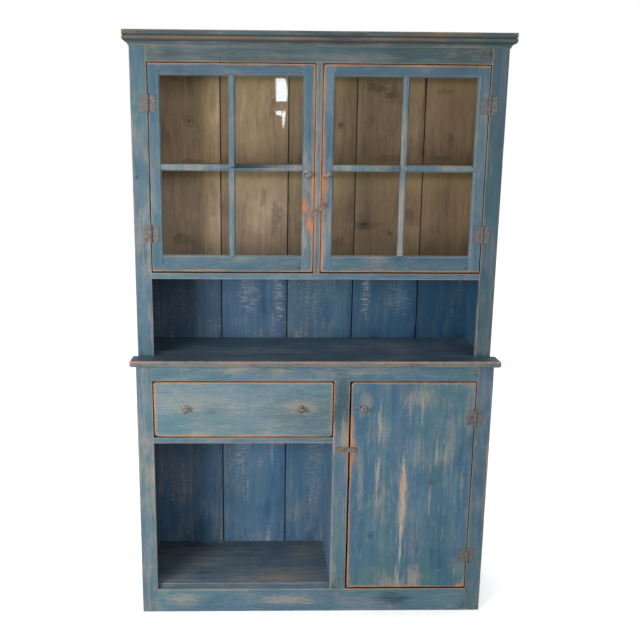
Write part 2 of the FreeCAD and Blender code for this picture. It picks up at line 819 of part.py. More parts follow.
parts = {}
parts.update(case_sides())
parts.update(back_boards())
parts.update(lower_face_frame())
parts.update(upper_face_frame())
parts.update(counter_top())
parts.update(floors_and_shelves())
parts.update(drawer_guide())
parts.update(cornice())
parts.update(case_fittings())
parts.update(glazed_door("left_door", left_hinges, True))
parts.update(glazed_door("right_door", right_hinges, False))
parts.update(lower_door())
parts.update(drawer())
parts.update(turn_buttons())

for name, shape in parts.items():
    shape.exportStep("parts/%s.step" % name)
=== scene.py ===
import json
import math
from functools import partialmethod

import bmesh
import bpy
from mathutils import Matrix, Vector, noise


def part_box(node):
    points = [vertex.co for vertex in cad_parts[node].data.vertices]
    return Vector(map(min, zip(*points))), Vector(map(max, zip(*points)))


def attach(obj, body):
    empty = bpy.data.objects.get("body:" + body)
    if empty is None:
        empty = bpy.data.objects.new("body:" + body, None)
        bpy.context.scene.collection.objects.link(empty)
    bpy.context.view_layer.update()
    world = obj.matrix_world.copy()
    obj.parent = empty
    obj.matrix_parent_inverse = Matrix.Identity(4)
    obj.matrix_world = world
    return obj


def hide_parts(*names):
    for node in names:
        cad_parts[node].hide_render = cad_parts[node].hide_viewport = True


bl_info = {
    "name": "Step Back Cupboard",
    "version": (1, 0, 0),
    "blender": (4, 5, 0),
    "location": "View3D > Sidebar > Cupboard",
    "description": "Dresses a painted step back cupboard with worn paint, old iron and glass",
    "category": "Object",
}

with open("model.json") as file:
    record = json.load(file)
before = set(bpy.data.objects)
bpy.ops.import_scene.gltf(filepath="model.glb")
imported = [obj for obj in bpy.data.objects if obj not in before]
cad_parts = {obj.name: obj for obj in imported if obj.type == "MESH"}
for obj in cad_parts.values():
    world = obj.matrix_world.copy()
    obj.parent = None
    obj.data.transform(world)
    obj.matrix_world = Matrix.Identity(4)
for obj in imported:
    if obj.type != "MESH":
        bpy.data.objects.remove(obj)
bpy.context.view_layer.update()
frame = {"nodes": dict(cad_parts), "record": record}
NODES = frame["nodes"]
BODY_OF = {node: body for body, members in frame["record"]["behaviour"]["bodies"].items()
           for node in members}


def srgb(red, green, blue):
    """A colour of 0 to 255 numbers as the linear colour that Blender mixes with."""
    linear = []
    for value in (red, green, blue):
        value = value / 255
        linear.append(value / 12.92 if value <= 0.04045 else ((value + 0.055) / 1.055) ** 2.4)
    return tuple(linear)


def color_property(name, description, color):
    """A colour that the panel shows."""
    return bpy.props.FloatVectorProperty(name=name, description=description,
                                         default=srgb(*color), size=3, subtype="COLOR",
                                         min=0, max=1)


def number_property(name, description, default, **settings):
    """A number that the panel shows."""
    return bpy.props.FloatProperty(name=name, description=description, default=default,
                                   **settings)


class CupboardPaint(bpy.types.PropertyGroup):
    """The colours of the paint and of the wood under it."""
    blue_dark: color_property("Blue, dark", "Deepest tone of the frame paint", (46, 76, 94))
    blue: color_property("Blue", "Middle tone of the frame paint", (70, 97, 115))
    blue_light: color_property("Blue, light", "Lightest tone of the frame paint", (100, 119, 128))
    teal: color_property("Teal", "Green cast of the paint in places", (68, 104, 108))
    door_dark: color_property("Door, dark", "Deepest tone of the lower door", (40, 72, 96))
    door: color_property("Door", "Middle tone of the lower door", (58, 94, 117))
    door_light: color_property("Door, light", "Lightest tone of the lower door", (82, 113, 126))
    ochre: color_property("Ochre", "Browned paint on the cornice", (110, 90, 64))
    drawer: color_property("Drawer", "Middle tone of the drawer", (92, 114, 124))
    drawer_light: color_property("Drawer, light", "Lightest tone of the drawer", (122, 136, 140))
    floor_blue: color_property("Bay floor", "Middle tone of the bay's floor", (74, 89, 102))
    floor_light: color_property("Bay floor, light", "Rubbed tone of the floor", (112, 114, 110))
    moss_dark: color_property("Cornice, dark", "Deepest tone of the cornice", (44, 57, 60))
    moss: color_property("Cornice", "Middle tone of the cornice", (61, 79, 84))
    moss_light: color_property("Cornice, light", "Lightest tone of the cornice", (92, 99, 91))
    deep_dark: color_property("Lining, dark", "Deepest tone of the lining", (38, 64, 96))
    deep: color_property("Lining", "Middle tone of the lining", (66, 100, 130))
    deep_light: color_property("Lining, light", "Lightest tone of the lining", (106, 128, 144))
    navy_dark: color_property("Counter, dark", "Deepest tone of the counter", (38, 56, 70))
    navy: color_property("Counter", "Middle tone of the counter", (58, 77, 92))
    navy_light: color_property("Counter, light", "Lightest tone of the counter", (84, 98, 108))
    rub: color_property("Rubbed paint", "Dry tan streaks in the paint", (152, 142, 124))
    ash: color_property("Ashy streaks", "Grey streaks in the paint", (118, 122, 128))
    fringe: color_property("Worn fringe", "Thin paint beside the bare edges", (160, 134, 110))
    cream: color_property("Cream strands", "Paint rubbed almost through", (184, 168, 150))
    chalk: color_property("Chalky marks", "Pale strands and saw marks", (166, 170, 156))
    wood_dark: color_property("Worn wood, dark", "Old wood where paint is gone", (140, 84, 48))
    wood: color_property("Worn wood", "Fresh wood where paint is gone", (198, 138, 90))
    trim_dark: color_property("Worn frame, dark", "Old wood on the frame's edges", (138, 104, 84))
    trim: color_property("Worn frame", "Rubbed wood on the frame's edges", (184, 152, 128))
    # The two gap colours are painted shade deep in the gaps round the fronts, with dirt and old
    # wood
    gap_dark: color_property("Gaps", "Dirt deep in the lower gaps", (50, 38, 31))
    gap_brown: color_property("Upper gaps", "Old wood deep in the upper gaps", (114, 68, 42))
    # This colour is both real grime, on the knots and stains behind the glass, and painted shade
    # in the cornice's grooves
    grime: color_property("Grime", "Dirt in the grooves and the knots", (52, 40, 34))
    knot: color_property("Knots", "Knots that show through the paint", (34, 48, 50))
    bare_dark: color_property("Bare wood, dark", "Dark grain of bare wood", (140, 112, 84))
    bare: color_property("Bare wood", "Middle tone of bare wood", (172, 141, 104))
    # Painted light: the yellow of the lit band on the back boards under each shelf
    yellowed: color_property("Yellowed wood", "Bare wood under the shelves", (182, 162, 108))
    bare_light: color_property("Bare wood, light", "Light grain of bare wood", (196, 165, 124))


class CupboardMetal(bpy.types.PropertyGroup):
    """The colours of the ironwork and of the glass."""
    hinge: color_property("Hinges", "Dull iron of the hinges", (120, 118, 115))
    hinge_dark: color_property("Hinges, dark", "Rust in the hinges", (90, 87, 85))
    knob_light: color_property("Knobs", "Rubbed iron of the knobs", (164, 156, 150))
    knob_dark: color_property("Knobs, dark", "Dark iron of the knobs", (72, 68, 66))
    button_light: color_property("Turn buttons", "Worn metal of the buttons", (154, 142, 124))
    button_dark: color_property("Turn buttons, dark", "Dark metal of the buttons", (98, 88, 78))
    glass: color_property("Glass", "Tint of the panes", (238, 242, 240))


class CupboardWear(bpy.types.PropertyGroup):
    """How far the edges are worn."""
    arris: number_property("Rounding", "How wide the sharp edges are rounded", 0.0010,
                           min=0.0001, unit="LENGTH")
    chip: number_property("Chips", "How deep the edges are chipped", 0.0007, min=0, unit="LENGTH")
    band: number_property("Bare band", "How far the bare wood reaches from an edge", 0.0036,
                          min=0, unit="LENGTH")
    corner: number_property("Corners", "How far the wear rounds off a corner", 0.012,
                            min=0, unit="LENGTH")


# ---- Node trees ----

class Tree:
    """Adds nodes to one tree, a call for each."""

    def __init__(self, tree):
        self.tree = tree

    def feed(self, socket, value):
        """Links a socket to an input, or sets the input's own value; colours get their alpha."""
        if isinstance(value, bpy.types.NodeSocket):
            self.tree.links.new(value, socket)
        elif value is not None:
            socket.default_value = (*value, 1.0) if socket.type == "RGBA" else value

    def add(self, kind, inputs=None, **settings):
        """A node with some of its inputs and settings."""
        node = self.tree.nodes.new(kind)
        for name, value in settings.items():
            setattr(node, name, value)
        for name, value in (inputs or {}).items():
            self.feed(node.inputs[name], value)
        return node

    def math(self, operation, a, b=None, clamp=False):
        """A sum of one or two numbers; over and under give 1 where they hold, or else 0."""
        node = self.add("ShaderNodeMath", {0: a, 1: b}, operation=operation, use_clamp=clamp)
        return node.outputs[0]

    plus = partialmethod(math, "ADD")
    minus = partialmethod(math, "SUBTRACT")
    times = partialmethod(math, "MULTIPLY")
    least = partialmethod(math, "MINIMUM")
    most = partialmethod(math, "MAXIMUM")
    over = partialmethod(math, "GREATER_THAN")
    under = partialmethod(math, "LESS_THAN")
    size = partialmethod(math, "ABSOLUTE")

    def within(self, a, b):
        """1 where a lies between -b and b, or else 0."""
        return self.under(self.size(a), b)

    def weigh(self, *parts):
        """The sum of some numbers, each times its weight."""
        total = None
        for value, weight in parts:
            part = value if weight == 1 else self.times(value, weight)
            total = part if total is None else self.plus(total, part)
        return total

    def vector(self, operation, a, b=None, number=False):
        """A sum of two vectors."""
        node = self.add("ShaderNodeVectorMath", {0: a, 1: b}, operation=operation)
        return node.outputs["Value" if number else "Vector"]

    def scale(self, a, by):
        """A vector or a colour made longer or brighter."""
        node = self.add("ShaderNodeVectorMath", {0: a, "Scale": by}, operation="SCALE")
        return node.outputs["Vector"]

    def join(self, x, y, z):
        """A vector of three numbers."""
        return self.add("ShaderNodeCombineXYZ", {0: x, 1: y, 2: z}).outputs[0]

    def split(self, a):
        """The three parts of a vector."""
        return self.add("ShaderNodeSeparateXYZ", {0: a}).outputs

    def noise(self, place, scale, detail=2.0, roughness=0.5, twist=0.0):
        """Seeded noise of 0 to 1 over a place."""
        node = self.add("ShaderNodeTexNoise", {"Vector": place, "Scale": scale, "Detail": detail,
                                               "Roughness": roughness, "Distortion": twist})
        return node.outputs["Fac"]

    def swing(self, place, *settings):
        """The same noise, but of -0.5 to 0.5."""
        return self.minus(self.noise(place, *settings), 0.5)

    def fade(self, value, low, high):
        """0 below low and 1 above high, with a soft step; low may be the larger."""
        node = self.add("ShaderNodeMapRange", {"Value": value, "From Min": low, "From Max": high},
                        interpolation_type="SMOOTHSTEP")
        return node.outputs[0]

    def mix(self, share, a, b, way="MIX"):
        """Two colours mixed."""
        node = self.add("ShaderNodeMix", data_type="RGBA", blend_type=way)
        for socket, value in zip((0, 6, 7), (share, a, b)):
            self.feed(node.inputs[socket], value)
        return node.outputs[2]

    def tones(self, share, colors):
        """A ramp through evenly spaced colours."""
        result = colors[0]
        last = len(colors) - 1
        for step in range(1, last + 1):
            part = self.fade(share, (step - 1) / last, step / last)
            result = self.mix(part, result, colors[step])
        return result

    def attribute(self, name, output="Fac"):
        """A value that the mesh carries."""
        return self.add("ShaderNodeAttribute", attribute_name=name).outputs[output]

    def place(self):
        """The place on the piece, in metres."""
        return self.add("ShaderNodeTexCoord").outputs["Object"]

    def ray(self, kind):
        """1 for rays of one kind, or else 0."""
        return self.add("ShaderNodeLightPath").outputs[kind]

    def either(self, share, first, second):
        """One shader where the share is 0 and the other where it is 1."""
        return self.add("ShaderNodeMixShader", {0: share, 1: first, 2: second}).outputs[0]

    def own_shader(self):
        """What the material's main shader gives."""
        return self.tree.nodes["Principled BSDF"].outputs["BSDF"]

    def surface(self, shader):
        """Makes a shader the material's surface."""
        self.feed(self.tree.nodes["Material Output"].inputs["Surface"], shader)

    def use(self, group, **values):
        """A shared group with this material's own values."""
        return self.add("ShaderNodeGroup", values, node_tree=SHARED[group]).outputs


def shared_group(name, inputs, outputs, fill):
    """Builds a shader node group once and returns it."""
    tree = bpy.data.node_groups.new(name, "ShaderNodeTree")
    for label, kind, default in inputs:
        socket = tree.interface.new_socket(name=label, in_out="INPUT", socket_type=kind)
        if default is not None:
            socket.default_value = default
    for label, kind in outputs:
        tree.interface.new_socket(name=label, in_out="OUTPUT", socket_type=kind)
    ends = tree.nodes.new("NodeGroupInput").outputs
    result = tree.nodes.new("NodeGroupOutput").inputs
    made = fill(Tree(tree), {socket.name: socket for socket in ends})
    for label, socket in made.items():
        tree.links.new(socket, result[label])
    return tree


VALUE = "NodeSocketFloat"
COLOR = "NodeSocketColor"
VECTOR = "NodeSocketVector"


def board_space(tree, given):
    """Coordinates that follow a board's grain, and the distance to its worn edges."""
    here = tree.place()
    shifted = tree.vector("ADD", here, tree.attribute("board_shift", "Vector"))
    wave = tree.times(tree.noise(shifted, 4.5, 3, 0.5), 0.03)
    wavy = tree.vector("ADD", shifted, tree.join(wave, wave, wave))
    grain = tree.vector("MULTIPLY", wavy, tree.attribute("board_grain", "Vector"))
    low = tree.vector("SUBTRACT", here, tree.attribute("board_low", "Vector"))
    high = tree.vector("SUBTRACT", tree.attribute("board_high", "Vector"), here)
    depth = tree.split(low)[1]
    x, y, z = tree.split(tree.vector("MINIMUM", low, high))
    smaller = tree.least(x, y)
    larger = tree.most(x, y)
    side = tree.most(smaller, tree.least(larger, z))
    other = tree.most(larger, z)
    reach = given["Corner"]
    short_side = tree.most(tree.minus(reach, side), 0)
    short_other = tree.most(tree.minus(reach, other), 0)
    squares = tree.plus(tree.times(short_side, short_side), tree.times(short_other, short_other))
    inside = tree.math("SQRT", squares)
    edge = tree.minus(tree.most(side, reach), inside)
    # Faces that look into a gap round a front get painted shade, from just behind the front face
    # to about 2 cm in
    in_reach = tree.times(tree.fade(depth, 0.0006, 0.0032), tree.fade(depth, 0.026, 0.020))
    gap = tree.times(tree.attribute("in_gap"), in_reach)
    # Tone is partly painted shade, deeper towards the right
    return {"Grain": grain, "Plain": shifted, "Here": here, "Edge": edge,
            "Arris": tree.attribute("arris"), "Gap": gap, "Tone": tree.attribute("board_tone"),
            "Rubbed": tree.attribute("board_rub")}


def brushed_paint(tree, given):
    """Thin brushed paint: streaks along the grain, a green cast and dry tan rubbing."""
    grain = given["Grain"]
    plain = given["Plain"]
    other = tree.vector("ADD", grain, (3.1, 5.3, 1.7))
    third = tree.vector("ADD", grain, (7.9, 2.2, 4.6))
    fine = tree.noise(grain, 260, 4, 0.65)
    tone = tree.weigh((tree.noise(grain, 52, 4, 0.6), 0.65), (fine, 0.6),
                      (tree.noise(plain, 6, 4, 0.55, 0.6), 0.75))
    tone = tree.fade(tone, 0.55, 1.45)
    color = tree.tones(tone, (given["Dark"], given["Middle"], given["Light"]))
    green = tree.weigh((tree.noise(other, 30, 3, 0.6), 0.7),
                       (tree.noise(plain, 3.6, 3, 0.5, 0.8), 0.7))
    green = tree.times(tree.fade(green, 0.6, 0.84), given["Cast"])
    color = tree.mix(green, color, given["Green"])
    ash = tree.weigh((tree.noise(third, 40, 4, 0.65), 0.75),
                     (tree.noise(plain, 5, 3, 0.5, 0.5), 0.65))
    ash = tree.times(tree.fade(ash, 0.68, 0.96), given["Ashy"])
    color = tree.mix(ash, color, given["Ash"])
    dry = tree.weigh((tree.noise(other, 190, 6, 0.72), 1),
                     (tree.swing(plain, 7.5, 4, 0.6, 0.5), 1),
                     (tree.swing(third, 26, 3, 0.6), 0.7), (given["Rubbed"], 1))
    dry = tree.times(tree.fade(dry, 0.5, 1.02), given["Rubbing"], clamp=True)
    color = tree.mix(dry, color, given["Rub"])
    strand = tree.fade(tree.noise(third, 340, 3, 0.55), 0.56, 0.72)
    strand = tree.times(strand, tree.fade(tree.noise(plain, 11, 4, 0.6, 0.4), 0.46, 0.62))
    strand = tree.times(strand, tree.times(given["Rubbing"], 0.5))
    color = tree.mix(strand, color, given["Chalk"])
    ridges = tree.noise(tree.vector("MULTIPLY", plain, (0.2, 1, 1)), 300, 2, 0.5)
    columns = tree.noise(tree.vector("MULTIPLY", plain, (1, 1, 0.08)), 70, 3, 0.6)
    marks = tree.weigh((ridges, 0.8), (columns, 1), (tree.noise(plain, 5, 3, 0.6, 0.4), 0.8))
    marks = tree.times(tree.fade(marks, 1.42, 1.7), given["Marks"], clamp=True)
    color = tree.mix(marks, color, given["Chalk"])
    return {"Color": color, "Height": tree.weigh((fine, 0.6), (dry, 0.5))}


def edge_wear(tree, given):
    """Where use has taken the paint off the edges, and the pale fringe beside it."""
    slow = tree.noise(given["Plain"], 9, 3, 0.55)
    quick = tree.noise(given["Plain"], 75, 4, 0.6)
    reach = tree.plus(tree.times(tree.fade(slow, 0.3, 0.7), 0.75), 0.55)
    reach = tree.times(reach, given["Band"])
    rough = tree.times(tree.minus(quick, 0.5), reach)
    edge = tree.plus(given["Edge"], tree.times(rough, 0.9))
    worn = tree.fade(edge, reach, tree.times(reach, 0.25))
    worn = tree.times(worn, given["Amount"], clamp=True)
    broken = tree.times(tree.fade(slow, 0.26, 0.46), given["Sharp"])
    outer = tree.times(tree.fade(given["Arris"], 0.7, 0.8), broken)
    inner = tree.times(tree.fade(given["Arris"], 0.3, 0.4), broken)
    worn = tree.most(worn, outer, clamp=True)
    fringe = tree.fade(edge, tree.times(reach, 2.6), tree.times(reach, 0.7))
    fringe = tree.times(fringe, tree.fade(quick, 0.26, 0.7))
    fringe = tree.times(fringe, given["Amount"])
    fringe = tree.most(fringe, inner, clamp=True)
    return {"Worn": worn, "Fringe": fringe, "Crest": outer}


def from_middle(tree, given):
    """How many half sizes a point is away from the middle of a patch."""
    away = tree.vector("SUBTRACT", given["Here"], given["Centre"])
    away = tree.vector("DIVIDE", away, given["Size"])
    return tree.vector("LENGTH", away, number=True)


def local_spot(tree, given):
    """A ragged patch round a place on the piece."""
    far = from_middle(tree, given)
    ragged = tree.times(tree.swing(given["Grain"], given["Detail"], 5, 0.7), given["Ragged"])
    return {"Spot": tree.fade(tree.plus(far, ragged), 0.95, 0.45)}


def knot_rings(tree, given):
    """A knot: a dark ragged heart inside faint uneven rings."""
    far = from_middle(tree, given)
    far = tree.weigh((far, 1), (tree.swing(given["Here"], 75, 4, 0.65), 1.3))
    heart = tree.fade(far, 0.75, 0.2)
    ring = tree.times(tree.fade(far, 0.7, 0.95), tree.fade(far, 1.35, 1.0))
    return {"Knot": tree.most(heart, tree.times(ring, 0.45))}


def raw_grain(tree, given):
    """Bare, aged softwood: long grain, cloudy stains and fine pores."""
    grain = given["Grain"]
    lines = tree.noise(grain, 85, 5, 0.65, 0.5)
    fine = tree.noise(grain, 420, 3, 0.6)
    cloud = tree.noise(given["Plain"], 7, 4, 0.6, 0.2)
    tone = tree.fade(tree.weigh((lines, 0.8), (fine, 0.45), (cloud, 0.85)), 0.7, 1.4)
    color = tree.tones(tone, (given["Dark"], given["Middle"], given["Light"]))
    return {"Color": color, "Height": tree.weigh((lines, 1), (fine, 0.5))}


def mottled_metal(tree, given):
    """Old metal: blotches, pits and rubbed high places."""
    here = tree.place()
    pits = tree.noise(here, 700, 2, 0.5)
    tone = tree.weigh((tree.noise(here, 110, 4, 0.6), 1.1), (pits, 0.3))
    return {"Tone": tree.fade(tone, 0.45, 0.95), "Height": pits}


SHARED = {}
GREY = (0.5, 0.5, 0.5, 1.0)
SPACE = ("Grain", VECTOR, None), ("Plain", VECTOR, None)
TONES = ("Dark", COLOR, GREY), ("Middle", COLOR, GREY), ("Light", COLOR, GREY)
PATCH = ("Here", VECTOR, None), ("Centre", VECTOR, None), ("Size", VECTOR, (1, 1, 1))

# Each shared effect: its key, its name, its inputs with their defaults, its outputs and its maker
EFFECTS = (
    ("space", "Board space", (("Corner", VALUE, 0.012),),
     (("Grain", VECTOR), ("Plain", VECTOR), ("Here", VECTOR), ("Edge", VALUE), ("Arris", VALUE),
      ("Gap", VALUE), ("Tone", VALUE), ("Rubbed", VALUE)), board_space),
    ("paint", "Brushed paint",
     (*SPACE, *TONES, ("Green", COLOR, GREY), ("Cast", VALUE, 0.5), ("Rub", COLOR, GREY),
      ("Rubbing", VALUE, 0.5), ("Rubbed", VALUE, 0.0), ("Chalk", COLOR, GREY),
      ("Marks", VALUE, 0.4), ("Ash", COLOR, GREY), ("Ashy", VALUE, 0.5)),
     (("Color", COLOR), ("Height", VALUE)), brushed_paint),
    ("wear", "Edge wear",
     (("Plain", VECTOR, None), ("Edge", VALUE, 1.0), ("Arris", VALUE, 0.0),
      ("Band", VALUE, 0.004), ("Amount", VALUE, 1.0), ("Sharp", VALUE, 0.8)),
     (("Worn", VALUE), ("Fringe", VALUE), ("Crest", VALUE)), edge_wear),
    ("spot", "Local spot",
     (*PATCH, ("Grain", VECTOR, None), ("Detail", VALUE, 300.0), ("Ragged", VALUE, 4.2)),
     (("Spot", VALUE),), local_spot),
    ("knot", "Knot", PATCH, (("Knot", VALUE),), knot_rings),
    ("raw", "Raw grain", (*SPACE, *TONES), (("Color", COLOR), ("Height", VALUE)), raw_grain),
    ("metal", "Mottled metal", (), (("Tone", VALUE), ("Height", VALUE)), mottled_metal),
)


def build_groups():
    """Every effect that more than one finish uses."""
    for key, name, inputs, outputs, maker in EFFECTS:
        SHARED[key] = shared_group(name, inputs, outputs, maker)


# ---- Finishes ----

MATERIALS = {}

# Places of the case that the finishes go by, in metres
SIDE_FACE = 0.54            # the sides' inner faces
HAIR = 0.0005               # how far beside a face the line is drawn
CASE_EDGE = 0.5575          # just inside the sides' outer faces
CASE_TOP = 1.8395           # just under the top of the case
COUNTER_MIDDLE = 0.855      # half way up the counter
FLOOR_MIDDLE = 1.1195       # half way up the cupboard floor
BACK_FRONT = 0.1555         # just behind the back boards' front faces
GAP_FRONT = 0.1562          # from here back, the gaps between the back boards are painted black as shade
REAR_FACE = 0.1715          # just in front of the back boards' rear faces
BETWEEN_DOORS = 0.04        # half the strip round the upper centre stile
SHADE_LEVELS = (1.745, 1.435)       # under the frieze and under the glazed shelf
GROOVE_LEVELS = (1.826, 1.813)      # the middles of the cornice's grooves
GROOVE_REACH = 0.0044               # how far their painted shade reaches up and down
COUNTER_FACE = (0.8605, 0.8632)     # where the counter's front edge turns into its upper face
COUNTER_FRONT = (-0.164, -0.155)    # where the worn paint along its front ends
COUNTER_LIGHT = (-0.15, 0.08)       # painted shade from its dark front part to its lighter back part

# Front faces that the patches lie on, and a knot's and two other patches' half sizes in y, in
# millimetres
LOWER = -150
UPPER = -99
COUNTER = -168
BACK = 155
KNOT_DEPTH = 50
SAW_DEPTH = 50
STAIN_DEPTH = 10

# Painted shade: near black deep in the gaps between the back boards
GAP_BLACK = (0.006, 0.006, 0.007)

# Knots in the back boards: x, y, z, half width and half height in millimetres, and their share
BACK_KNOTS = ((-409.6, BACK, 1594, 16, 16, 0.6), (91, BACK, 1585, 10, 11, 0.9),
              (177, BACK, 1259, 18, 12, 0.9), (266, BACK, 1229, 9, 9, 0.8),
              (-130, BACK, 1655, 20, 34, 0.35), (245, BACK, 1680, 30, 22, 0.4))


def new_material(name):
    """A material's tree and its shader's inputs."""
    material = bpy.data.materials.new(name)
    material.use_nodes = True
    MATERIALS[name] = material
    nodes = material.node_tree.nodes
    return Tree(material.node_tree), nodes["Principled BSDF"].inputs


def bump(tree, shader, height, distance, strength):
    """A fine relief on the shader's normal."""
    node = tree.add("ShaderNodeBump", {"Distance": distance, "Strength": strength,
                                       "Height": height})
    tree.feed(shader["Normal"], node.outputs["Normal"])


def metres(sizes):
    """Millimetres as metres."""
    return tuple(size / 1000 for size in sizes)


def spot_mask(tree, space, place, size, along="Grain", **values):
    """Where a ragged patch lies. Its place and its half sizes are in millimetres."""
    spot = tree.use("spot", Here=space["Here"], Grain=space[along], Centre=metres(place),
                    Size=metres(size), **values)
    return spot["Spot"]


def spots(tree, space, rows, color, into):
    """Lays ragged patches of one colour over a colour."""
    for *measures, share in rows:
        mask = spot_mask(tree, space, measures[:3], measures[3:])
        into = tree.mix(tree.times(mask, share), into, color)
    return into


def knots(tree, space, rows, color, into):
    """Lays knots over a colour."""
    for *place, wide, high, share in rows:
        mark = tree.use("knot", Here=space["Here"], Centre=metres(place),
                        Size=metres((wide, KNOT_DEPTH, high)))
        into = tree.mix(tree.times(mark["Knot"], share), into, color)
    return into


def worn_wood(tree, space, dark, light, crest):
    """The wood that shows where the paint is gone, paler along the very edge."""
    share = tree.fade(tree.noise(space["Grain"], 120, 4, 0.6), 0.3, 0.66)
    share = tree.plus(tree.times(share, 0.65), tree.times(crest, 0.35), clamp=True)
    return tree.mix(share, dark, light)


def paint_coat(tree, space, paint, tones, cast, rubbing, marks, ashy=0.55):
    """The shared paint with one finish's colours."""
    dark, middle, light = tones
    return tree.use("paint", Grain=space["Grain"], Plain=space["Plain"], Dark=dark, Middle=middle,
                    Light=light, Green=paint.teal, Cast=cast, Rub=paint.rub, Rubbing=rubbing,
                    Rubbed=space["Rubbed"], Chalk=paint.chalk, Marks=marks, Ash=paint.ash,
                    Ashy=ashy)


def raw_wood(tree, space, paint):
    """The shared grain in the colours of bare wood."""
    return tree.use("raw", Grain=space["Grain"], Plain=space["Plain"], Dark=paint.bare_dark,
                    Middle=paint.bare, Light=paint.bare_light)


def gap_dirt(tree, space, paint):
    """What lines the gaps: painted shade with dirt, and painted shade over brown wood between the
    glazed doors.
    """
    x, y, z = tree.split(space["Here"])
    between = tree.times(tree.over(z, FLOOR_MIDDLE), tree.within(x, BETWEEN_DOORS))
    return tree.mix(between, paint.gap_dark, paint.gap_brown)


def painted_finish(name, tones, patches=None, cast=0.5, rubbing=0.5, marks=0.4, ashy=0.55,
                   amount=1.0, sharp=0.8, band=1.0, roughness=0.5, trim=False, lining=None):
    """Worn paint on wood, with this finish's own patches."""
    paint = bpy.context.scene.cupboard_paint
    wear = bpy.context.scene.cupboard_wear
    patches = patches or {}
    tree, shader = new_material(name)
    space = tree.use("space", Corner=wear.corner)
    coat = paint_coat(tree, space, paint, tones, cast, rubbing, marks, ashy)
    height = coat["Height"]
    color = knots(tree, space, patches.get("knots", ()), paint.knot, coat["Color"])
    for kind, tint in (("dark", paint.knot), ("tan", paint.rub), ("ochre", paint.ochre),
                       ("cream", paint.cream)):
        color = spots(tree, space, patches.get(kind, ()), tint, color)
    color = tree.scale(color, space["Tone"])
    if lining:
        color = lining(tree, space, color)
    reach = wear.band * band
    for *measures, gain in patches.get("wedges", ()):
        wedge = spot_mask(tree, space, measures[:3], measures[3:], Ragged=2.0)
        reach = tree.plus(tree.times(wedge, gain / 1000), reach)
    edges = tree.use("wear", Plain=space["Plain"], Edge=space["Edge"], Arris=space["Arris"],
                     Band=reach, Amount=amount, Sharp=sharp)
    dark, light = (paint.trim_dark, paint.trim) if trim else (paint.wood_dark, paint.wood)
    color = tree.mix(tree.times(edges["Fringe"], 0.55), color, paint.fringe)
    raw = worn_wood(tree, space, dark, light, edges["Crest"])
    color = spots(tree, space, patches.get("bare", ()), raw, color)
    color = tree.mix(edges["Worn"], color, raw)
    # Painted shade, with dirt, deep in the gaps round the doors and the drawer
    color = tree.mix(space["Gap"], color, gap_dirt(tree, space, paint))
    tree.feed(shader["Base Color"], color)
    tree.feed(shader["Roughness"], tree.plus(tree.times(height, 0.22), roughness))
    tree.feed(shader["Specular IOR Level"], 0.4)
    bump(tree, shader, tree.minus(height, tree.times(edges["Worn"], 0.8)), 0.0006, 0.5)


# Saw marks on the back boards' blue part: x, z, half width and half height in millimetres, and
# the share of chalk
SAW_COLUMNS = ((-108, 1010, 20, 110, 0.55), (189, 1020, 18, 100, 0.5),
               (-215, 1010, 44, 80, 0.35), (-240, 430, 26, 150, 0.4), (20, 380, 36, 170, 0.3),
               (300, 1000, 60, 70, 0.22), (-460, 980, 60, 70, 0.15), (0, 1000, 60, 90, 0.18))

# Stains on the bare boards behind the glass, in the same order, with the share of grime
STAINS = ((205, 1705, 46, 24, 0.4), (262, 1690, 22, 34, 0.35), (430, 1692, 34, 14, 0.3),
          (185, 1590, 20, 40, 0.25), (250, 1475, 60, 18, 0.3), (430, 1478, 44, 12, 0.3),
          (180, 1255, 50, 20, 0.35), (330, 1290, 18, 44, 0.3), (-120, 1290, 22, 60, 0.3),
          (-165, 1350, 14, 40, 0.3), (-400, 1465, 60, 12, 0.3), (-435, 1205, 40, 26, 0.35),
          (-330, 1650, 16, 60, 0.2), (90, 1200, 30, 24, 0.3))


def gaps_inside(tree, x, y, z):
    """Where the gaps between the back boards are, seen from the front, which get painted black
    shade.
    """
    behind = tree.times(tree.over(y, GAP_FRONT), tree.within(x, CASE_EDGE))
    return tree.times(behind, tree.under(z, CASE_TOP))


def blue_lining(tree, space, paint, x, z):
    """Deep blue paint in the waist and the lower bay, with saw marks, and painted shade in the
    waist and on the right side's inner face.
    """
    coat = paint_coat(tree, space, paint, (paint.deep_dark, paint.deep, paint.deep_light),
                      cast=0.2, rubbing=0.35, marks=0.6)
    # Painted shade: the waist under the upper case and the right side's inner face are darker
    waist = tree.times(tree.over(z, COUNTER_MIDDLE), 0.18)
    shade = tree.times(tree.minus(1, waist), space["Tone"])
    right_side = tree.times(tree.over(x, SIDE_FACE - HAIR), 0.3)
    shade = tree.times(shade, tree.minus(1, right_side))
    blue = tree.scale(coat["Color"], shade)
    blue = tree.mix(tree.fade(x, -0.1, 0.5), blue, (0.6, 0.94, 1.06), "MULTIPLY")
    ridges = tree.noise(tree.vector("MULTIPLY", space["Plain"], (0.1, 1, 1)), 340, 2, 0.5)
    ticks = tree.fade(ridges, 0.48, 0.62)
    for x_at, z_at, wide, high, share in SAW_COLUMNS:
        column = spot_mask(tree, space, (x_at, BACK, z_at), (wide, SAW_DEPTH, high), "Plain",
                           Ragged=3.0, Detail=90)
        mask = tree.times(tree.times(column, ticks), share)
        blue = tree.mix(mask, blue, paint.chalk)
    return blue


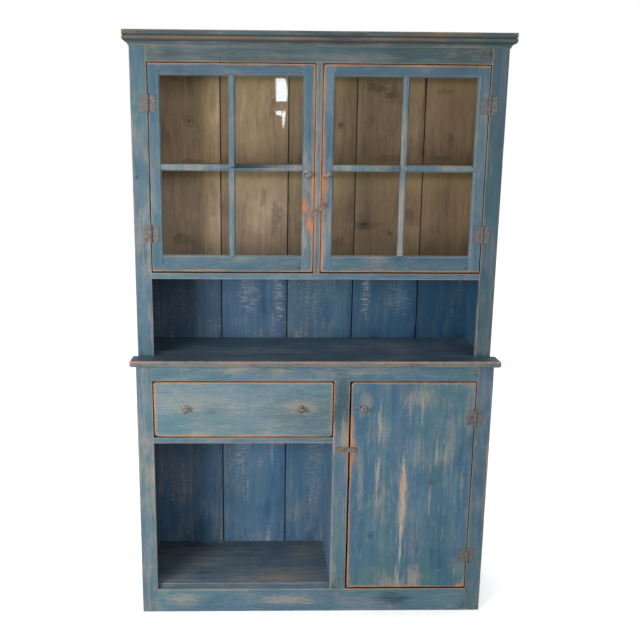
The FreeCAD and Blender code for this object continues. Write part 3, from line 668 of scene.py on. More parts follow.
def wood_behind_glass(tree, space, paint, raw, x, z):
    """Bare boards with a painted band of yellow light and a painted shadow under each shelf, with
    knots and stains.
    """
    wood = tree.scale(raw["Color"], tree.attribute("inner_tone"))
    wood = tree.mix(1.0, wood, (1.0, 1.0, 1.16), "MULTIPLY")
    for level in SHADE_LEVELS:
        below = tree.under(z, level + 0.01)
        # A painted band of yellow light, and above it a painted shadow just under the shelf or the
        # frieze
        lit = tree.times(tree.fade(z, level - 0.1, level - 0.03), 0.3)
        wood = tree.mix(tree.times(lit, below), wood, paint.yellowed)
        shaded = tree.times(tree.fade(z, level - 0.035, level - 0.01), 0.35)
        wood = tree.scale(wood, tree.minus(1, tree.times(shaded, below)))
    browner = tree.fade(x, -0.1, 0.05)
    wood = tree.mix(browner, wood, (1.0, 0.97, 0.97), "MULTIPLY")
    greyer = tree.times(tree.fade(x, 0.0, -0.1), tree.fade(z, 1.45, 1.38))
    wood = tree.mix(greyer, wood, (1.04, 1.06, 1.22), "MULTIPLY")
    wood = knots(tree, space, BACK_KNOTS, paint.grime, wood)
    for x_at, z_at, wide, high, share in STAINS:
        stain = spot_mask(tree, space, (x_at, BACK, z_at), (wide, STAIN_DEPTH, high), "Plain",
                          Ragged=2.6, Detail=55)
        wood = tree.mix(tree.times(stain, share), wood, paint.grime)
    return wood


def lining_of(paint):
    """How the case boards change inside: deep blue below, bare wood behind the glass, and painted
    black shade in the gaps between the back boards.
    """
    def lining(tree, space, color):
        x, y, z = tree.split(space["Here"])
        blue = blue_lining(tree, space, paint, x, z)
        raw = raw_wood(tree, space, paint)
        wood = wood_behind_glass(tree, space, paint, raw, x, z)
        inside = tree.mix(tree.over(z, FLOOR_MIDDLE), blue, wood)
        color = tree.mix(tree.within(x, SIDE_FACE + HAIR), color, inside)
        # The gaps between the back boards are painted black as shade
        color = tree.mix(gaps_inside(tree, x, y, z), color, GAP_BLACK)
        weathered = tree.plus(tree.times(space["Tone"], 0.25), 0.7)
        end_grain = tree.times(tree.over(z, CASE_TOP), tree.over(y, BACK_FRONT))
        rear = tree.most(tree.over(y, REAR_FACE), end_grain)
        return tree.mix(rear, color, tree.scale(raw["Color"], weathered))
    return lining


def counter_of(paint):
    """The counter's upper face gets painted shade, deeper than its edge, most of all at the front.
    """
    def darker(tree, space, color):
        x, y, z = tree.split(space["Here"])
        upper = tree.times(tree.fade(z, *COUNTER_FACE), tree.fade(y, *COUNTER_FRONT))
        coat = paint_coat(tree, space, paint, (paint.navy_dark, paint.navy, paint.navy_light),
                          cast=0.05, rubbing=0.3, marks=0.2)
        face = tree.scale(coat["Color"], tree.plus(tree.fade(y, *COUNTER_LIGHT), 0.6))
        return tree.mix(upper, color, face)
    return darker


def grooves_of(paint):
    """Painted shade in the cornice's grooves."""
    def dirty(tree, space, color):
        z = tree.split(space["Here"])[2]
        for level in GROOVE_LEVELS:
            away = tree.size(tree.minus(z, level))
            share = tree.fade(away, GROOVE_REACH, GROOVE_REACH / 3)
            color = tree.mix(tree.times(share, 0.8), color, paint.grime)
        return color
    return dirty


def bare_finish(name, paint):
    """Bare wood inside and behind."""
    tree, shader = new_material(name)
    raw = raw_wood(tree, tree.use("space"), paint)
    tree.feed(shader["Base Color"], raw["Color"])
    tree.feed(shader["Roughness"], 0.72)
    bump(tree, shader, raw["Height"], 0.0005, 0.4)


def metal_finish(name, dark, light, metallic, roughness):
    """Old ironwork."""
    tree, shader = new_material(name)
    metal = tree.use("metal")
    tree.feed(shader["Base Color"], tree.mix(metal["Tone"], dark, light))
    tree.feed(shader["Roughness"], tree.plus(tree.times(metal["Tone"], -0.2), roughness))
    tree.feed(shader["Metallic"], metallic)
    bump(tree, shader, metal["Height"], 0.0002, 0.3)


def glass_finish(name, color):
    """Clear old glass that lets the lamps through."""
    tree, shader = new_material(name)
    tree.feed(shader["Base Color"], color)
    tree.feed(shader["Transmission Weight"], 1)
    tree.feed(shader["Roughness"], 0.02)
    tree.feed(shader["IOR"], 1.2)
    bump(tree, shader, tree.noise(tree.place(), 9, 1, 0.5), 0.0015, 0.25)
    clear = tree.add("ShaderNodeBsdfTransparent", {"Color": color})
    lamps = tree.most(tree.ray("Is Shadow Ray"), tree.ray("Is Diffuse Ray"))
    tree.surface(tree.either(lamps, tree.own_shader(), clear.outputs["BSDF"]))


# The patches of each finish. A row is the middle's x, y and z and the half sizes in x, y and z,
# all in millimetres, and then the share of the patch's colour. In "wedges" the last number is
# how many millimetres of bare wood the patch adds to the worn edges. A knot has no size in y.
FRAME_PATCHES = {
    "wedges": ((108, LOWER, 570, 60, 60, 120, 8), (560, LOWER, 470, 60, 60, 190, 5),
               (0, UPPER, 1322, 60, 60, 120, 6), (0, UPPER, 1240, 60, 60, 420, 1.2)),
    "bare": ((558, LOWER, 500, 4, 30, 130, 0.9), (558, LOWER, 300, 3, 30, 160, 0.6),
             (-558, LOWER, 560, 3, 30, 200, 0.5), (-558, UPPER, 1400, 3, 30, 200, 0.4)),
    "tan": ((-420, LOWER, 44, 60, 30, 26, 0.4), (-86, LOWER, 42, 120, 30, 22, 0.5),
            (92, LOWER, 610, 14, 30, 90, 0.5)),
    "dark": ((264, LOWER, 44, 70, 30, 26, 0.65), (84, LOWER, 720, 34, 30, 130, 0.6),
             (-545, UPPER, 1420, 7, 30, 8, 0.7)),
}
CORNICE_PATCHES = {
    "ochre": ((360, UPPER, 1834, 150, 60, 7, 0.8), (-420, UPPER, 1820, 90, 60, 6, 0.9),
              (-270, UPPER, 1820, 120, 60, 6, 0.9), (-60, UPPER, 1820, 90, 60, 6, 0.7),
              (250, UPPER, 1820, 120, 60, 6, 0.6), (-560, UPPER, 1834, 40, 60, 12, 0.7)),
}
COUNTER_PATCHES = {
    "tan": ((-330, COUNTER, 852, 260, 30, 10, 0.5), (60, COUNTER, 852, 240, 30, 10, 0.5),
            (430, COUNTER, 852, 200, 30, 10, 0.55)),
}
FLOOR_PATCHES = {
    "tan": ((-120, -100, 92, 150, 22, 20, 0.3),),
    "ochre": ((-90, -85, 92, 120, 40, 20, 0.35),),
}
SASH_PATCHES = {
    "bare": ((-38, UPPER, 1336, 12, 30, 42, 0.9), (-33, UPPER, 1290, 8, 30, 26, 0.6),
             (24, UPPER, 1402, 9, 30, 22, 0.6)),
    "tan": ((-40, UPPER, 1250, 14, 30, 70, 0.5), (-36, UPPER, 1420, 12, 30, 90, 0.4),
            (38, UPPER, 1300, 10, 30, 90, 0.45)),
    "wedges": ((-12, UPPER, 1320, 60, 60, 80, 5), (-14, UPPER, 1285, 24, 60, 60, 7),
               (12, UPPER, 1395, 60, 60, 90, 5), (0, UPPER, 1440, 70, 60, 420, 1.6)),
}
DOOR_PATCHES = {
    "wedges": ((114, LOWER, 590, 60, 60, 130, 8), (140, LOWER, 560, 40, 60, 60, 5),
               (200, LOWER, 88, 200, 60, 60, 1.5), (500, LOWER, 92, 40, 60, 40, 9),
               (500, LOWER, 775, 50, 60, 90, 4)),
    "bare": ((287, LOWER, 440, 7, 30, 90, 0.35),),
    "cream": ((288, LOWER, 420, 10, 30, 130, 0.6), (287, LOWER, 250, 4, 30, 150, 0.6),
              (278, LOWER, 130, 8, 30, 60, 0.35), (205, LOWER, 480, 7, 30, 80, 0.4),
              (206, LOWER, 660, 8, 30, 70, 0.35), (392, LOWER, 560, 5, 30, 60, 0.35),
              (375, LOWER, 400, 4, 30, 60, 0.3), (340, LOWER, 700, 6, 30, 50, 0.3),
              (300, LOWER, 720, 5, 30, 60, 0.3)),
    "tan": ((288, LOWER, 400, 20, 30, 180, 0.5), (330, LOWER, 740, 60, 30, 40, 0.4),
            (160, LOWER, 720, 26, 30, 50, 0.4), (150, LOWER, 480, 14, 30, 130, 0.4),
            (200, LOWER, 430, 10, 30, 110, 0.3), (440, LOWER, 600, 12, 30, 100, 0.3),
            (335, LOWER, 120, 26, 30, 50, 0.45), (260, LOWER, 105, 60, 30, 20, 0.35),
            (385, LOWER, 649, 2.2, 30, 3, 1.0), (413, LOWER, 147, 2.2, 30, 3, 1.0)),
    "knots": ((380, LOWER, 458, 11, 9, 0.7), (404, LOWER, 466, 10, 7, 0.6),
              (486, LOWER, 482, 12, 8, 0.6), (188, LOWER, 271, 11, 11, 0.7)),
}
DRAWER_PATCHES = {
    "tan": ((-400, LOWER, 730, 150, 30, 45, 0.3), (-44, LOWER, 712, 70, 30, 30, 0.45),
            (-406, LOWER, 700, 45, 30, 16, 0.3)),
    "dark": ((-330, LOWER, 697, 26, 30, 12, 0.3), (-30, LOWER, 690, 150, 30, 100, 0.3)),
}


class CUPBOARD_OT_finishes(bpy.types.Operator):
    """Make the paint, wood, iron and glass"""
    bl_idname = "cupboard.finishes"
    bl_label = "Finishes"

    def execute(self, context):
        paint = context.scene.cupboard_paint
        metal = context.scene.cupboard_metal
        blues = (paint.blue_dark, paint.blue, paint.blue_light)
        mossy = (paint.moss_dark, paint.moss, paint.moss_light)
        rubbed = (paint.navy_dark, paint.floor_blue, paint.floor_light)
        deep_blues = (paint.door_dark, paint.door, paint.door_light)
        pale_blues = (paint.blue, paint.drawer, paint.drawer_light)
        build_groups()
        painted_finish("Frame paint", blues, FRAME_PATCHES, cast=0.6, rubbing=0.7, marks=0.1,
                       amount=0.55, sharp=0.75, band=0.7, trim=True)
        painted_finish("Cornice paint", mossy, CORNICE_PATCHES, cast=0.35, rubbing=0.55, marks=0.0,
                       amount=0.5, sharp=0.5, band=0.6, trim=True, lining=grooves_of(paint))
        painted_finish("Board paint", blues, amount=0.5, sharp=0.6, trim=True,
                       lining=lining_of(paint))
        painted_finish("Counter paint", blues, COUNTER_PATCHES, cast=0.1, rubbing=0.7, marks=0.1,
                       amount=0.9, band=1.1, roughness=0.42, lining=counter_of(paint))
        painted_finish("Floor paint", rubbed, FLOOR_PATCHES, cast=0.05, rubbing=0.6, marks=0.3,
                       amount=0.3, sharp=0.4, trim=True)
        painted_finish("Sash paint", blues, SASH_PATCHES, cast=0.4, rubbing=0.7, marks=0.1,
                       amount=0.95, sharp=0.9)
        painted_finish("Lower door paint", deep_blues, DOOR_PATCHES, cast=0.8, rubbing=0.75,
                       marks=0.1, ashy=0.2, amount=0.95, band=1.1)
        painted_finish("Drawer paint", pale_blues, DRAWER_PATCHES, rubbing=0.7, marks=0.1,
                       band=1.2)
        bare_finish("Bare wood", paint)
        metal_finish("Hinge iron", metal.hinge_dark, metal.hinge, 0.35, 0.62)
        metal_finish("Knob iron", metal.knob_dark, metal.knob_light, 0.75, 0.36)
        metal_finish("Button iron", metal.button_dark, metal.button_light, 0.5, 0.55)
        glass_finish("Old glass", metal.glass)
        return {"FINISHED"}


# ---- Boards carved from the frame's nodes ----

def add_object(name, data):
    """Adds an object to the scene."""
    made = bpy.data.objects.new(name, data)
    bpy.context.scene.collection.objects.link(made)
    return made


def give(node, finish):
    """Gives the frame's own solid a finish, and returns it."""
    materials = NODES[node].data.materials
    materials.clear()
    materials.append(MATERIALS[finish])
    return NODES[node]


# Stands for a face of a board whose edges aren't worn
FAR = None

# How the boards are cut up and rounded, in metres but for the angle
CUT_LENGTH = 0.04           # about how far apart a board is cut across its grain
CUT_MARGIN = 0.007          # how far from its edges it is cut as well
NARROWEST = 0.03            # the least width for that
SHARP_ANGLE = math.radians(25)
SHORTEST_EDGE = 0.0035      # shorter edges stay as they are
WORN_WITHIN = 0.02          # edges this near to the worn planes are rounded
OUTER_WITHIN = 0.004        # and they are bare where they are this near
GAP_REACH = (-0.003, 0.009)     # how far outside a closed front its gap begins and ends
SAME_PLACE = 0.0002         # a corner this near to a given place is the one that is meant
FRONT_DEPTH = 0.005         # the least depth of a front's upright corner

# How far the finishes' patterns are squeezed along x, y and z, by the way the grain runs
GRAIN = {"x": (0.06, 1, 1), "y": (1, 0.06, 1), "z": (1, 1, 0.06)}
UNITS = [Vector(row) for row in Matrix.Identity(3)]


def joined_box(*nodes):
    """The box round some of the frame's nodes."""
    boxes = [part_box(node) for node in nodes]
    low = Vector([min(box[0][axis] for box in boxes) for axis in range(3)])
    high = Vector([max(box[1][axis] for box in boxes) for axis in range(3)])
    return low, high


CLOSED = {
    "left_door": joined_box("left_door_hinge_stile", "left_door_lock_stile"),
    "right_door": joined_box("right_door_hinge_stile", "right_door_lock_stile"),
    "lower_door": joined_box("lower_door_panel"),
    "drawer": joined_box("drawer_front"),
}


def far_box(low, high, edges):
    """The piece's box, its planes moved out by millimetres, or far off where none is worn."""
    low = Vector(low)
    high = Vector(high)
    for axis in range(3):
        first = edges[2 * axis]
        second = edges[2 * axis + 1]
        low[axis] -= 1.0 if first is FAR else first / 1000
        high[axis] += 1.0 if second is FAR else second / 1000
    return low, high


def edge_distance(point, low, high):
    """How far a point on the surface is from the nearest worn edge."""
    return sorted(min(point[a] - low[a], high[a] - point[a]) for a in range(3))[1]


def round_corners(bm, corners):
    """Rounds corners of a front, each given by its x, its z and a radius."""
    for x, z, radius in corners:
        edges = []
        for edge in bm.edges:
            ends = [vert.co for vert in edge.verts]
            here = all(max(abs(end.x - x), abs(end.z - z)) < SAME_PLACE for end in ends)
            if here and abs(ends[0].y - ends[1].y) > FRONT_DEPTH:
                edges.append(edge)
        bmesh.ops.bevel(bm, geom=edges, offset=radius, offset_type="OFFSET", segments=3,
                        profile=0.5, affect="EDGES", clamp_overlap=False)


def in_gap(centre, normal):
    """Whether a face looks into the gap round a door or the drawer, where painted shade goes."""
    if abs(normal.y) > 0.5:
        return False
    for low, high in CLOSED.values():
        outside = max(low.x - centre.x, centre.x - high.x, low.z - centre.z, centre.z - high.z)
        if GAP_REACH[0] < outside < GAP_REACH[1]:
            return True
    return False


def clean_solid(node):
    """A node's solid, its flat faces whole again."""
    bm = bmesh.new()
    bm.from_mesh(NODES[node].data)
    bmesh.ops.remove_doubles(bm, verts=bm.verts[:], dist=1e-6)
    bmesh.ops.dissolve_limit(bm, angle_limit=math.radians(0.4), verts=bm.verts[:],
                             edges=bm.edges[:])
    return bm


def mark_sharp(bm):
    """Marks the sharp edges as seams; the lengths they are cut into keep the mark."""
    for edge in bm.edges:
        sharp = len(edge.link_faces) == 2 and edge.calc_face_angle(0) > SHARP_ANGLE
        edge.seam = sharp and edge.calc_length() > SHORTEST_EDGE


def cut_up(bm, low, high, axis):
    """Cuts a board across its grain and beside its edges, so that its edges can be chipped."""
    length = high[axis] - low[axis]
    cuts = max(2, round(length / CUT_LENGTH))
    planes = [(UNITS[axis] * (low[axis] + length * (i + 0.5) / cuts), UNITS[axis])
              for i in range(cuts)]
    for other in range(3):
        if other != axis and high[other] - low[other] >= NARROWEST:
            for place in (low[other] + CUT_MARGIN, high[other] - CUT_MARGIN):
                planes.append((UNITS[other] * place, UNITS[other]))
    for point, normal in planes:
        everything = bm.verts[:] + bm.edges[:] + bm.faces[:]
        bmesh.ops.bisect_plane(bm, geom=everything, dist=1e-5, plane_co=point, plane_no=normal)


def along_moulding(edge, mouldings, span):
    """Whether an edge is one of a moulding's, between two heights where they are given."""
    run = edge.verts[1].co - edge.verts[0].co
    height = (edge.verts[0].co.z + edge.verts[1].co.z) / 2
    lengthwise = max(abs(run["xyz".index(axis)]) for axis in mouldings) > 0.9 * run.length
    return lengthwise and (span is None or span[0] < height < span[1])


def round_edges(bm, low, high, width, mouldings, span):
    """Rounds the sharp edges that are worn or moulded, and returns the new faces."""
    worn = []
    for edge in bm.edges:
        if edge.seam:
            middle = (edge.verts[0].co + edge.verts[1].co) / 2
            moulded = mouldings and along_moulding(edge, mouldings, span)
            if moulded or edge_distance(middle, low, high) < WORN_WITHIN:
                worn.append(edge)
    flag = bm.faces.layers.float.new("arris")
    made = bmesh.ops.bevel(bm, geom=worn, offset=width, offset_type="OFFSET", segments=2,
                           profile=0.5, affect="EDGES", clamp_overlap=False)
    for face in made["faces"]:
        outer = edge_distance(face.calc_center_median(), low, high) < OUTER_WITHIN
        face[flag] = 1.0 if outer else 0.5
    return made["faces"]


def chip_edges(bm, faces, seed, depth, share):
    """Pushes the rounded edges in by seeded noise."""
    bm.normal_update()
    touched = {vert for face in faces for vert in face.verts}
    for vert in sorted(touched, key=lambda item: item.index):
        place = vert.co * 16 + Vector((seed * 3.7, seed * 1.3, seed * 2.1))
        rough = noise.noise(place) + 0.5 * noise.noise(place * 3.1)
        vert.co -= vert.normal * (max(0.0, rough) * depth * share)


def carve(node, finish, grain, edges, seed, chip=1.0, rounding=1.0, around=None,
          mouldings=None, span=None, corners=(), tone=1.0, rub=0.0, inner=1.0):
    """A worn copy of a board: its edges rounded and chipped, with what its finish reads."""
    wear = bpy.context.scene.cupboard_wear
    bm = clean_solid(node)
    round_corners(bm, corners)
    own_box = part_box(node)
    low, high = far_box(*(around or own_box), edges)
    mark_sharp(bm)
    cut_up(bm, *own_box, "xyz".index(grain))
    rounded = round_edges(bm, low, high, wear.arris * rounding, mouldings, span)
    if chip > 0:
        chip_edges(bm, rounded, seed, wear.chip, chip)
    bm.normal_update()
    # Faces that look into the gaps round the fronts are flagged for painted shade
    hidden = bm.faces.layers.float.new("in_gap")
    for face in bm.faces:
        face[hidden] = float(in_gap(face.calc_center_median(), face.normal))
    mesh = bpy.data.meshes.new(node + "_worn")
    bm.to_mesh(mesh)
    bm.free()
    count = len(mesh.polygons)
    shift = Vector((math.sin(seed * 12.9), math.sin(seed * 78.2), math.sin(seed * 37.7))) * 3
    for label, value in (("board_low", low), ("board_high", high), ("board_shift", shift),
                         ("board_grain", GRAIN[grain])):
        layer = mesh.attributes.new(label, "FLOAT_VECTOR", "FACE")
        layer.data.foreach_set("vector", list(value) * count)
    for label, value in (("board_tone", tone), ("board_rub", rub), ("inner_tone", inner)):
        layer = mesh.attributes.new(label, "FLOAT", "FACE")
        layer.data.foreach_set("value", [value] * count)
    mesh.shade_smooth()
    mesh.set_sharp_from_angle(angle=math.radians(40))
    mesh.materials.append(MATERIALS[finish])
    piece = add_object(node + "_worn", mesh)
    piece.modifiers.new("Flat faces", "WEIGHTED_NORMAL").keep_sharp = True
    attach(piece, BODY_OF[node])
    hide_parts(node)


# At a hinge the wear is reckoned from the gap's far side, in millimetres
HINGE_GAP = 4.2
NOT_WORN = (FAR,) * 6
ALL_WORN = (0,) * 6

# Each board: its finish, the way its grain runs, and how many millimetres outside its faces
# (low x, high x, low y, high y, low z, high z) the wear is reckoned from, or FAR where its
# edges aren't worn
CASE_BOARDS = (
    ("side_left", "Board paint", "z", (FAR, FAR, FAR, FAR, 0, FAR)),
    ("side_right", "Board paint", "z", (FAR, FAR, FAR, FAR, 0, FAR)),
    ("lower_floor", "Floor paint", "x", (FAR, FAR, 0, FAR, FAR, 1)),
    ("cupboard_floor", "Frame paint", "x", (FAR, FAR, 0, FAR, 0, 1)),
    ("drawer_shelf", "Frame paint", "x", (FAR, FAR, 0, FAR, 0, 1)),
    ("glazed_shelf", "Bare wood", "x", NOT_WORN),
    ("lower_shelf", "Bare wood", "x", NOT_WORN),
    ("partition", "Board paint", "z", NOT_WORN),
    ("case_top", "Board paint", "x", NOT_WORN),
    ("drawer_guide", "Bare wood", "y", NOT_WORN),
)

# How light the back boards are, from the left: their paint, and their wood behind the glass; this
# is partly painted shade, deeper towards the right
BACK_TONES = ((0.88, 2.05), (0.94, 1.06), (0.84, 0.74), (0.74, 0.92), (0.56, 0.7))

# Boards in the frame paint: grain and wear as above, then how light and how rubbed they are; how
# light is partly painted shade, deeper towards the right
FRAME_BOARDS = (
    ("lower_stile_left", "z", (1.5, 0.8, 0, FAR, 0, FAR), 0.93, 0.12),
    ("lower_stile_right", "z", (2.2, -0.4, 0, FAR, 0, FAR), 0.88, 0.0),
    ("lower_mullion", "z", (0, 0, 0, FAR, FAR, FAR), 0.98, 0.02),
    ("lower_top_rail", "x", (FAR, FAR, 0, FAR, 1, FAR), 0.98, 0.0),
    ("base_rail", "x", (FAR, FAR, 0, FAR, 2, 0), 1.06, 0.02),
    ("upper_stile_left", "z", (1.5, 2.2, 0, FAR, FAR, FAR), 0.88, 0.03),
    ("upper_stile_right", "z", (0.8, 1.6, 0, FAR, FAR, FAR), 0.68, 0.0),
    ("upper_mullion", "z", (-0.6, -0.6, 0, FAR, FAR, FAR), 0.9, 0.22),
)


class CUPBOARD_OT_case_boards(bpy.types.Operator):
    """Carve the sides, floors, shelves and top"""
    bl_idname = "cupboard.case_boards"
    bl_label = "Case boards"

    def execute(self, context):
        for seed, (node, finish, grain, edges) in enumerate(CASE_BOARDS, start=1):
            carve(node, finish, grain, edges, seed, rounding=0.8)
        carve("counter_top", "Counter paint", "x", (0, 0, 0, FAR, 3.5, 0), 20, chip=1.2, tone=0.66)
        return {"FINISHED"}


class CUPBOARD_OT_back_boards(bpy.types.Operator):
    """Carve the lapped back boards"""
    bl_idname = "cupboard.back_boards"
    bl_label = "Back boards"

    def execute(self, context):
        for number, (tone, inner) in enumerate(BACK_TONES, start=1):
            carve("back_board_%d" % number, "Board paint", "z", NOT_WORN, 30 + number, chip=0,
                  rounding=0.6, tone=tone, inner=inner)
        return {"FINISHED"}


class CUPBOARD_OT_face_frames(bpy.types.Operator):
    """Carve the stiles, centre stiles and rails"""
    bl_idname = "cupboard.face_frames"
    bl_label = "Face frames"

    def execute(self, context):
        for seed, (node, grain, edges, tone, rub) in enumerate(FRAME_BOARDS, start=40):
            carve(node, "Frame paint", grain, edges, seed, tone=tone, rub=rub)
        carve("frieze_rail", "Cornice paint", "x", (FAR, FAR, 0, FAR, 0, FAR), 50, tone=0.88,
              rub=0.05)
        return {"FINISHED"}


class CUPBOARD_OT_cornice(bpy.types.Operator):
    """Carve the mitred cornice"""
    bl_idname = "cupboard.cornice"
    bl_label = "Cornice"

    def execute(self, context):
        for seed, (part, grain) in enumerate(zip(("front", "left", "right"), "xyy"), start=60):
            carve("cornice_" + part, "Cornice paint", grain, ALL_WORN, seed, chip=0.35,
                  rounding=0.4, tone=0.88)
        return {"FINISHED"}


class CUPBOARD_OT_glazed_doors(bpy.types.Operator):
    """Carve the sashes of the two glazed doors"""
    bl_idname = "cupboard.glazed_doors"
    bl_label = "Glazed doors"

    def execute(self, context):
        for side, hinge_x in (("left", 0), ("right", 1)):
            door = side + "_door"
            names = [door + part for part in ("_hinge_stile", "_lock_stile", "_top_rail",
                                              "_bottom_rail")]
            low, high = CLOSED[door]
            edges = [0, 0, 0, FAR, 0, 0]
            edges[hinge_x] = HINGE_GAP
            lock_x = (high if side == "left" else low).x
            span = (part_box(names[3])[1].z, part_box(names[2])[0].z)
            corners = ((lock_x, high.z, 0.006), (lock_x, low.z, 0.005))
            for seed, (name, grain) in enumerate(zip(names, "zzxx"), start=70 + 10 * hinge_x):
                carve(name, "Sash paint", grain, edges, seed, around=(low, high), chip=0.8,
                      rounding=0.8, mouldings=grain, span=span if grain == "z" else None,
                      corners=corners, tone=0.92 if grain == "z" else 0.8)
            carve(door + "_bars", "Frame paint", "z", (FAR, FAR, 0, FAR, FAR, FAR),
                  78 + 10 * hinge_x, around=(low, high), chip=0.4, rounding=0.7,
                  mouldings="xz", rub=0.2)
        return {"FINISHED"}


class CUPBOARD_OT_lower_door(bpy.types.Operator):
    """Carve the lower door and its battens"""
    bl_idname = "cupboard.lower_door"
    bl_label = "Lower door"

    def execute(self, context):
        low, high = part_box("lower_door_panel")
        carve("lower_door_panel", "Lower door paint", "z", (0, HINGE_GAP, 0, FAR, 0, 0), 90,
              chip=1.2, tone=0.93,
              corners=((low.x, high.z, 0.009), (low.x, low.z, 0.004), (high.x, low.z, 0.005)))
        carve("lower_door_battens", "Bare wood", "x", ALL_WORN, 91, chip=0.6)
        return {"FINISHED"}


class CUPBOARD_OT_drawer(bpy.types.Operator):
    """Carve the drawer"""
    bl_idname = "cupboard.drawer"
    bl_label = "Drawer"

    def execute(self, context):
        low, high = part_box("drawer_front")
        carve("drawer_front", "Drawer paint", "x", (-0.4, -0.4, 0, FAR, -0.4, -0.4), 95,
              chip=1.3, rounding=1.4,
              corners=((low.x, low.z, 0.011), (high.x, low.z, 0.009), (low.x, high.z, 0.007),
                       (high.x, high.z, 0.006)))
        parts = zip(("side_left", "side_right", "back", "bottom"), "yyxx")
        for seed, (part, grain) in enumerate(parts, start=96):
            carve("drawer_" + part, "Bare wood", grain, ALL_WORN, seed, chip=0.5)
        return {"FINISHED"}


# ---- Ironwork and glass, which keep the frame's own solids ----

FITTINGS = (
    ("Hinge iron", ("hinge_frame_leaves", "hinge_pins", "left_door_hinge_leaves",
                    "right_door_hinge_leaves", "lower_door_hinge_leaves", "case_screws",
                    "back_nails")),
    ("Knob iron", ("left_door_knob", "right_door_knob", "lower_door_knob", "drawer_knobs")),
    ("Button iron", ("upper_turn_button", "lower_turn_button")),
)


class CUPBOARD_OT_ironwork(bpy.types.Operator):
    """Finish the hinges, screws, nails, knobs and turn buttons"""
    bl_idname = "cupboard.ironwork"
    bl_label = "Ironwork"

    def execute(self, context):
        for finish, nodes in FITTINGS:
            for node in nodes:
                soften = give(node, finish).modifiers.new("Soft edges", "BEVEL")
                soften.width = 0.0003
                soften.segments = 2
                soften.limit_method = "ANGLE"
                soften.angle_limit = math.radians(40)
                soften.use_clamp_overlap = False
        return {"FINISHED"}


class CUPBOARD_OT_panes(bpy.types.Operator):
    """Finish the panes"""
    bl_idname = "cupboard.panes"
    bl_label = "Panes"

    def execute(self, context):
        for node in ("left_door_panes", "right_door_panes"):
            give(node, "Old glass")
        return {"FINISHED"}


class CupboardStage(bpy.types.PropertyGroup):
    """The floor, the camera and the light."""
    floor_color: color_property("Floor", "Colour of the floor", (255, 255, 255))
    bounce: number_property("Floor bounce", "Share of the light that the floor throws up", 0.35,
                            min=0, max=1)
    camera_place: bpy.props.FloatVectorProperty(
        name="Camera", description="Where the camera stands",
        default=(-0.16997, -2.48087, 1.50170), size=3, subtype="XYZ", unit="LENGTH")
    camera_yaw: number_property("Yaw", "How far the camera turns to the right",
                                math.radians(1.248), unit="ROTATION")
    camera_pitch: number_property("Pitch", "How far the camera looks down",
                                  math.radians(11.872), unit="ROTATION")
    camera_roll: number_property("Roll", "How far the camera leans",
                                 math.radians(0.409), unit="ROTATION")
    lens: number_property("Lens", "Focal length on a 36 mm wide picture", 43.736, min=10)
    room_light: number_property("Room light", "Strength of the light from all round", 0.52, min=0)
    sky_light: number_property("Sky light", "Strength of the light from above", 1.9, min=0)
    window_light: number_property("Window light", "Power of the soft box on the left", 96,
                                  min=0, unit="POWER")
    reflection: number_property("Window reflection", "Power of what shiny faces show of it", 22,
                                min=0, unit="POWER")
    side_light: number_property("Side light", "Power of the soft box at the right side", 24,
                                min=0, unit="POWER")
    fill_light: number_property("Fill light", "Power of the soft box on the right", 8,
                                min=0, unit="POWER")


CAMERA_SHIFT = (0.06560, -0.00962)
FLOOR_REACH = 14
WHITE = (1, 1, 1)
WINDOW_PLACE = (-2.0, -2.35, 1.15)
WINDOW_TARGET = (0, 0, 0.8)

# Small lamps that the left door's glass shows: their x, z, width and height in metres, and power
GLINT_Y = -2.6
GLINT_COLOR = (0.8, 0.9, 1)
GLINTS = (("Glint", -0.058, 1.860, 0.070, 0.150, 3.2),
          ("Low glint", -0.060, 1.722, 0.056, 0.022, 0.32),
          ("Lowest glint", -0.040, 1.682, 0.016, 0.070, 0.22))


def aim(yaw, pitch, roll):
    """The turn of a camera that looks along +Y, then yaws right, looks down and leans."""
    ahead = Vector((math.sin(yaw) * math.cos(pitch), math.cos(yaw) * math.cos(pitch),
                    -math.sin(pitch)))
    right = Vector((math.cos(yaw), -math.sin(yaw), 0))
    up = right.cross(ahead)
    across = math.cos(roll) * right + math.sin(roll) * up
    upright = -math.sin(roll) * right + math.cos(roll) * up
    return Matrix((across, upright, -ahead)).transposed()


def area_light(name, place, target, width, height, power, color=WHITE):
    """A soft box that faces a point."""
    data = bpy.data.lights.new(name, "AREA")
    data.shape = "RECTANGLE"
    data.size = width
    data.size_y = height
    data.energy = power
    data.color = color
    lamp = add_object(name, data)
    lamp.location = place
    lamp.rotation_euler = (Vector(target) - Vector(place)).to_track_quat("-Z", "Y").to_euler()
    return lamp


def stand_camera(sizes):
    """The camera at its place."""
    data = bpy.data.cameras.new("Camera")
    data.sensor_width = 36
    data.lens = sizes.lens
    data.shift_x, data.shift_y = CAMERA_SHIFT
    data.clip_end = 50
    camera = add_object("Camera", data)
    turn = aim(sizes.camera_yaw, sizes.camera_pitch, sizes.camera_roll)
    camera.matrix_world = Matrix.Translation(sizes.camera_place) @ turn.to_4x4()
    bpy.context.scene.camera = camera


def lay_floor(sizes):
    """A floor that the camera sees pale, and that throws up less light than it looks."""
    tree, shader = new_material("Pale floor")
    tree.feed(shader["Base Color"], sizes.floor_color)
    tree.feed(shader["Roughness"], 0.9)
    dull = tree.add("ShaderNodeBsdfDiffuse", {"Color": [sizes.bounce] * 3})
    camera_ray = tree.ray("Is Camera Ray")
    tree.surface(tree.either(camera_ray, dull.outputs["BSDF"], tree.own_shader()))
    bm = bmesh.new()
    bm.faces.new([bm.verts.new((x * FLOOR_REACH, y * FLOOR_REACH, 0))
                  for x, y in ((-1, -1), (1, -1), (1, 1), (-1, 1))])
    mesh = bpy.data.meshes.new("Floor")
    bm.to_mesh(mesh)
    bm.free()
    mesh.materials.append(MATERIALS["Pale floor"])
    add_object("Floor", mesh)


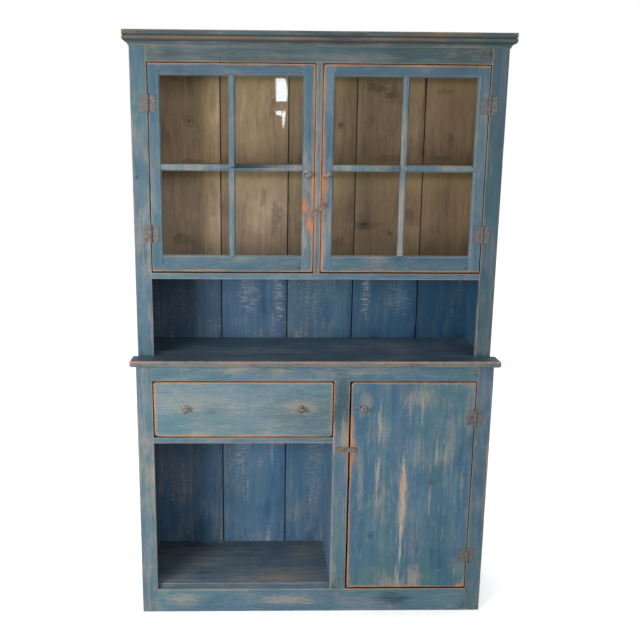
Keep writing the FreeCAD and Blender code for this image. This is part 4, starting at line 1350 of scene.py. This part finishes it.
def light_room(sizes):
    """Even light from all round, which the camera sees white."""
    world = bpy.data.worlds.new("Room light")
    world.use_nodes = True
    tree = Tree(world.node_tree)
    room = world.node_tree.nodes["Background"]
    behind = tree.add("ShaderNodeBackground", {"Color": WHITE})
    tree.feed(room.inputs["Color"], WHITE)
    tree.feed(room.inputs["Strength"], sizes.room_light)
    seen = tree.either(tree.ray("Is Camera Ray"), room.outputs[0], behind.outputs[0])
    tree.feed(world.node_tree.nodes["World Output"].inputs["Surface"], seen)
    bpy.context.scene.world = world
    bpy.context.scene.view_settings.view_transform = "Standard"


def hang_lamps(sizes):
    """The soft boxes, the glints and the light from above."""
    window = area_light("Window light", WINDOW_PLACE, WINDOW_TARGET, 1.3, 1.3, sizes.window_light)
    window.visible_glossy = False
    window.visible_transmission = False
    pane = area_light("Window reflection", WINDOW_PLACE, WINDOW_TARGET, 0.5, 0.5, sizes.reflection)
    pane.visible_diffuse = False
    pane.visible_transmission = False
    area_light("Side light", (3.2, 0.7, 1.4), (0.55, 0.1, 0.9), 1.5, 1.5, sizes.side_light)
    for name, x, z, width, height, power in GLINTS:
        area_light(name, (x, GLINT_Y, z), (x, 0, z), width, height, power, GLINT_COLOR)
    area_light("Fill light", (2.6, -2.8, 1.4), (0, 0, 0.9), 2.0, 2.0, sizes.fill_light)
    above = bpy.data.lights.new("Sky light", "SUN")
    above.energy = sizes.sky_light
    above.angle = math.radians(50)
    add_object("Sky light", above).location = (0, 0, 4)


class CUPBOARD_OT_stage(bpy.types.Operator):
    """Set the floor, the camera and the light"""
    bl_idname = "cupboard.stage"
    bl_label = "Stage"

    def execute(self, context):
        sizes = context.scene.cupboard_stage
        stand_camera(sizes)
        lay_floor(sizes)
        light_room(sizes)
        hang_lamps(sizes)
        return {"FINISHED"}


class CUPBOARD_PT_panel(bpy.types.Panel):
    """The cupboard's pieces and stage"""
    bl_label = "Step Back Cupboard"
    bl_idname = "CUPBOARD_PT_panel"
    bl_space_type = "VIEW_3D"
    bl_region_type = "UI"
    bl_category = "Cupboard"

    def draw(self, context):
        for operator in OPERATORS:
            self.layout.operator(operator.bl_idname)


OPERATORS = (CUPBOARD_OT_finishes, CUPBOARD_OT_case_boards, CUPBOARD_OT_back_boards,
             CUPBOARD_OT_face_frames, CUPBOARD_OT_cornice, CUPBOARD_OT_glazed_doors,
             CUPBOARD_OT_lower_door, CUPBOARD_OT_drawer, CUPBOARD_OT_ironwork,
             CUPBOARD_OT_panes, CUPBOARD_OT_stage)
PROPERTIES = {"cupboard_stage": CupboardStage, "cupboard_paint": CupboardPaint,
              "cupboard_metal": CupboardMetal, "cupboard_wear": CupboardWear}
CLASSES = (*PROPERTIES.values(), *OPERATORS, CUPBOARD_PT_panel)


def register():
    for cls in CLASSES:
        bpy.utils.register_class(cls)
    for name, group in PROPERTIES.items():
        setattr(bpy.types.Scene, name, bpy.props.PointerProperty(type=group))


def unregister():
    for name in PROPERTIES:
        delattr(bpy.types.Scene, name)
    for cls in reversed(CLASSES):
        bpy.utils.unregister_class(cls)


def main():
    """Makes every piece in order."""
    register()
    bpy.ops.cupboard.finishes()
    bpy.ops.cupboard.case_boards()
    bpy.ops.cupboard.back_boards()
    bpy.ops.cupboard.face_frames()
    bpy.ops.cupboard.cornice()
    bpy.ops.cupboard.glazed_doors()
    bpy.ops.cupboard.lower_door()
    bpy.ops.cupboard.drawer()
    bpy.ops.cupboard.ironwork()
    bpy.ops.cupboard.panes()
    bpy.ops.cupboard.stage()


if __name__ == "__main__":
    main()
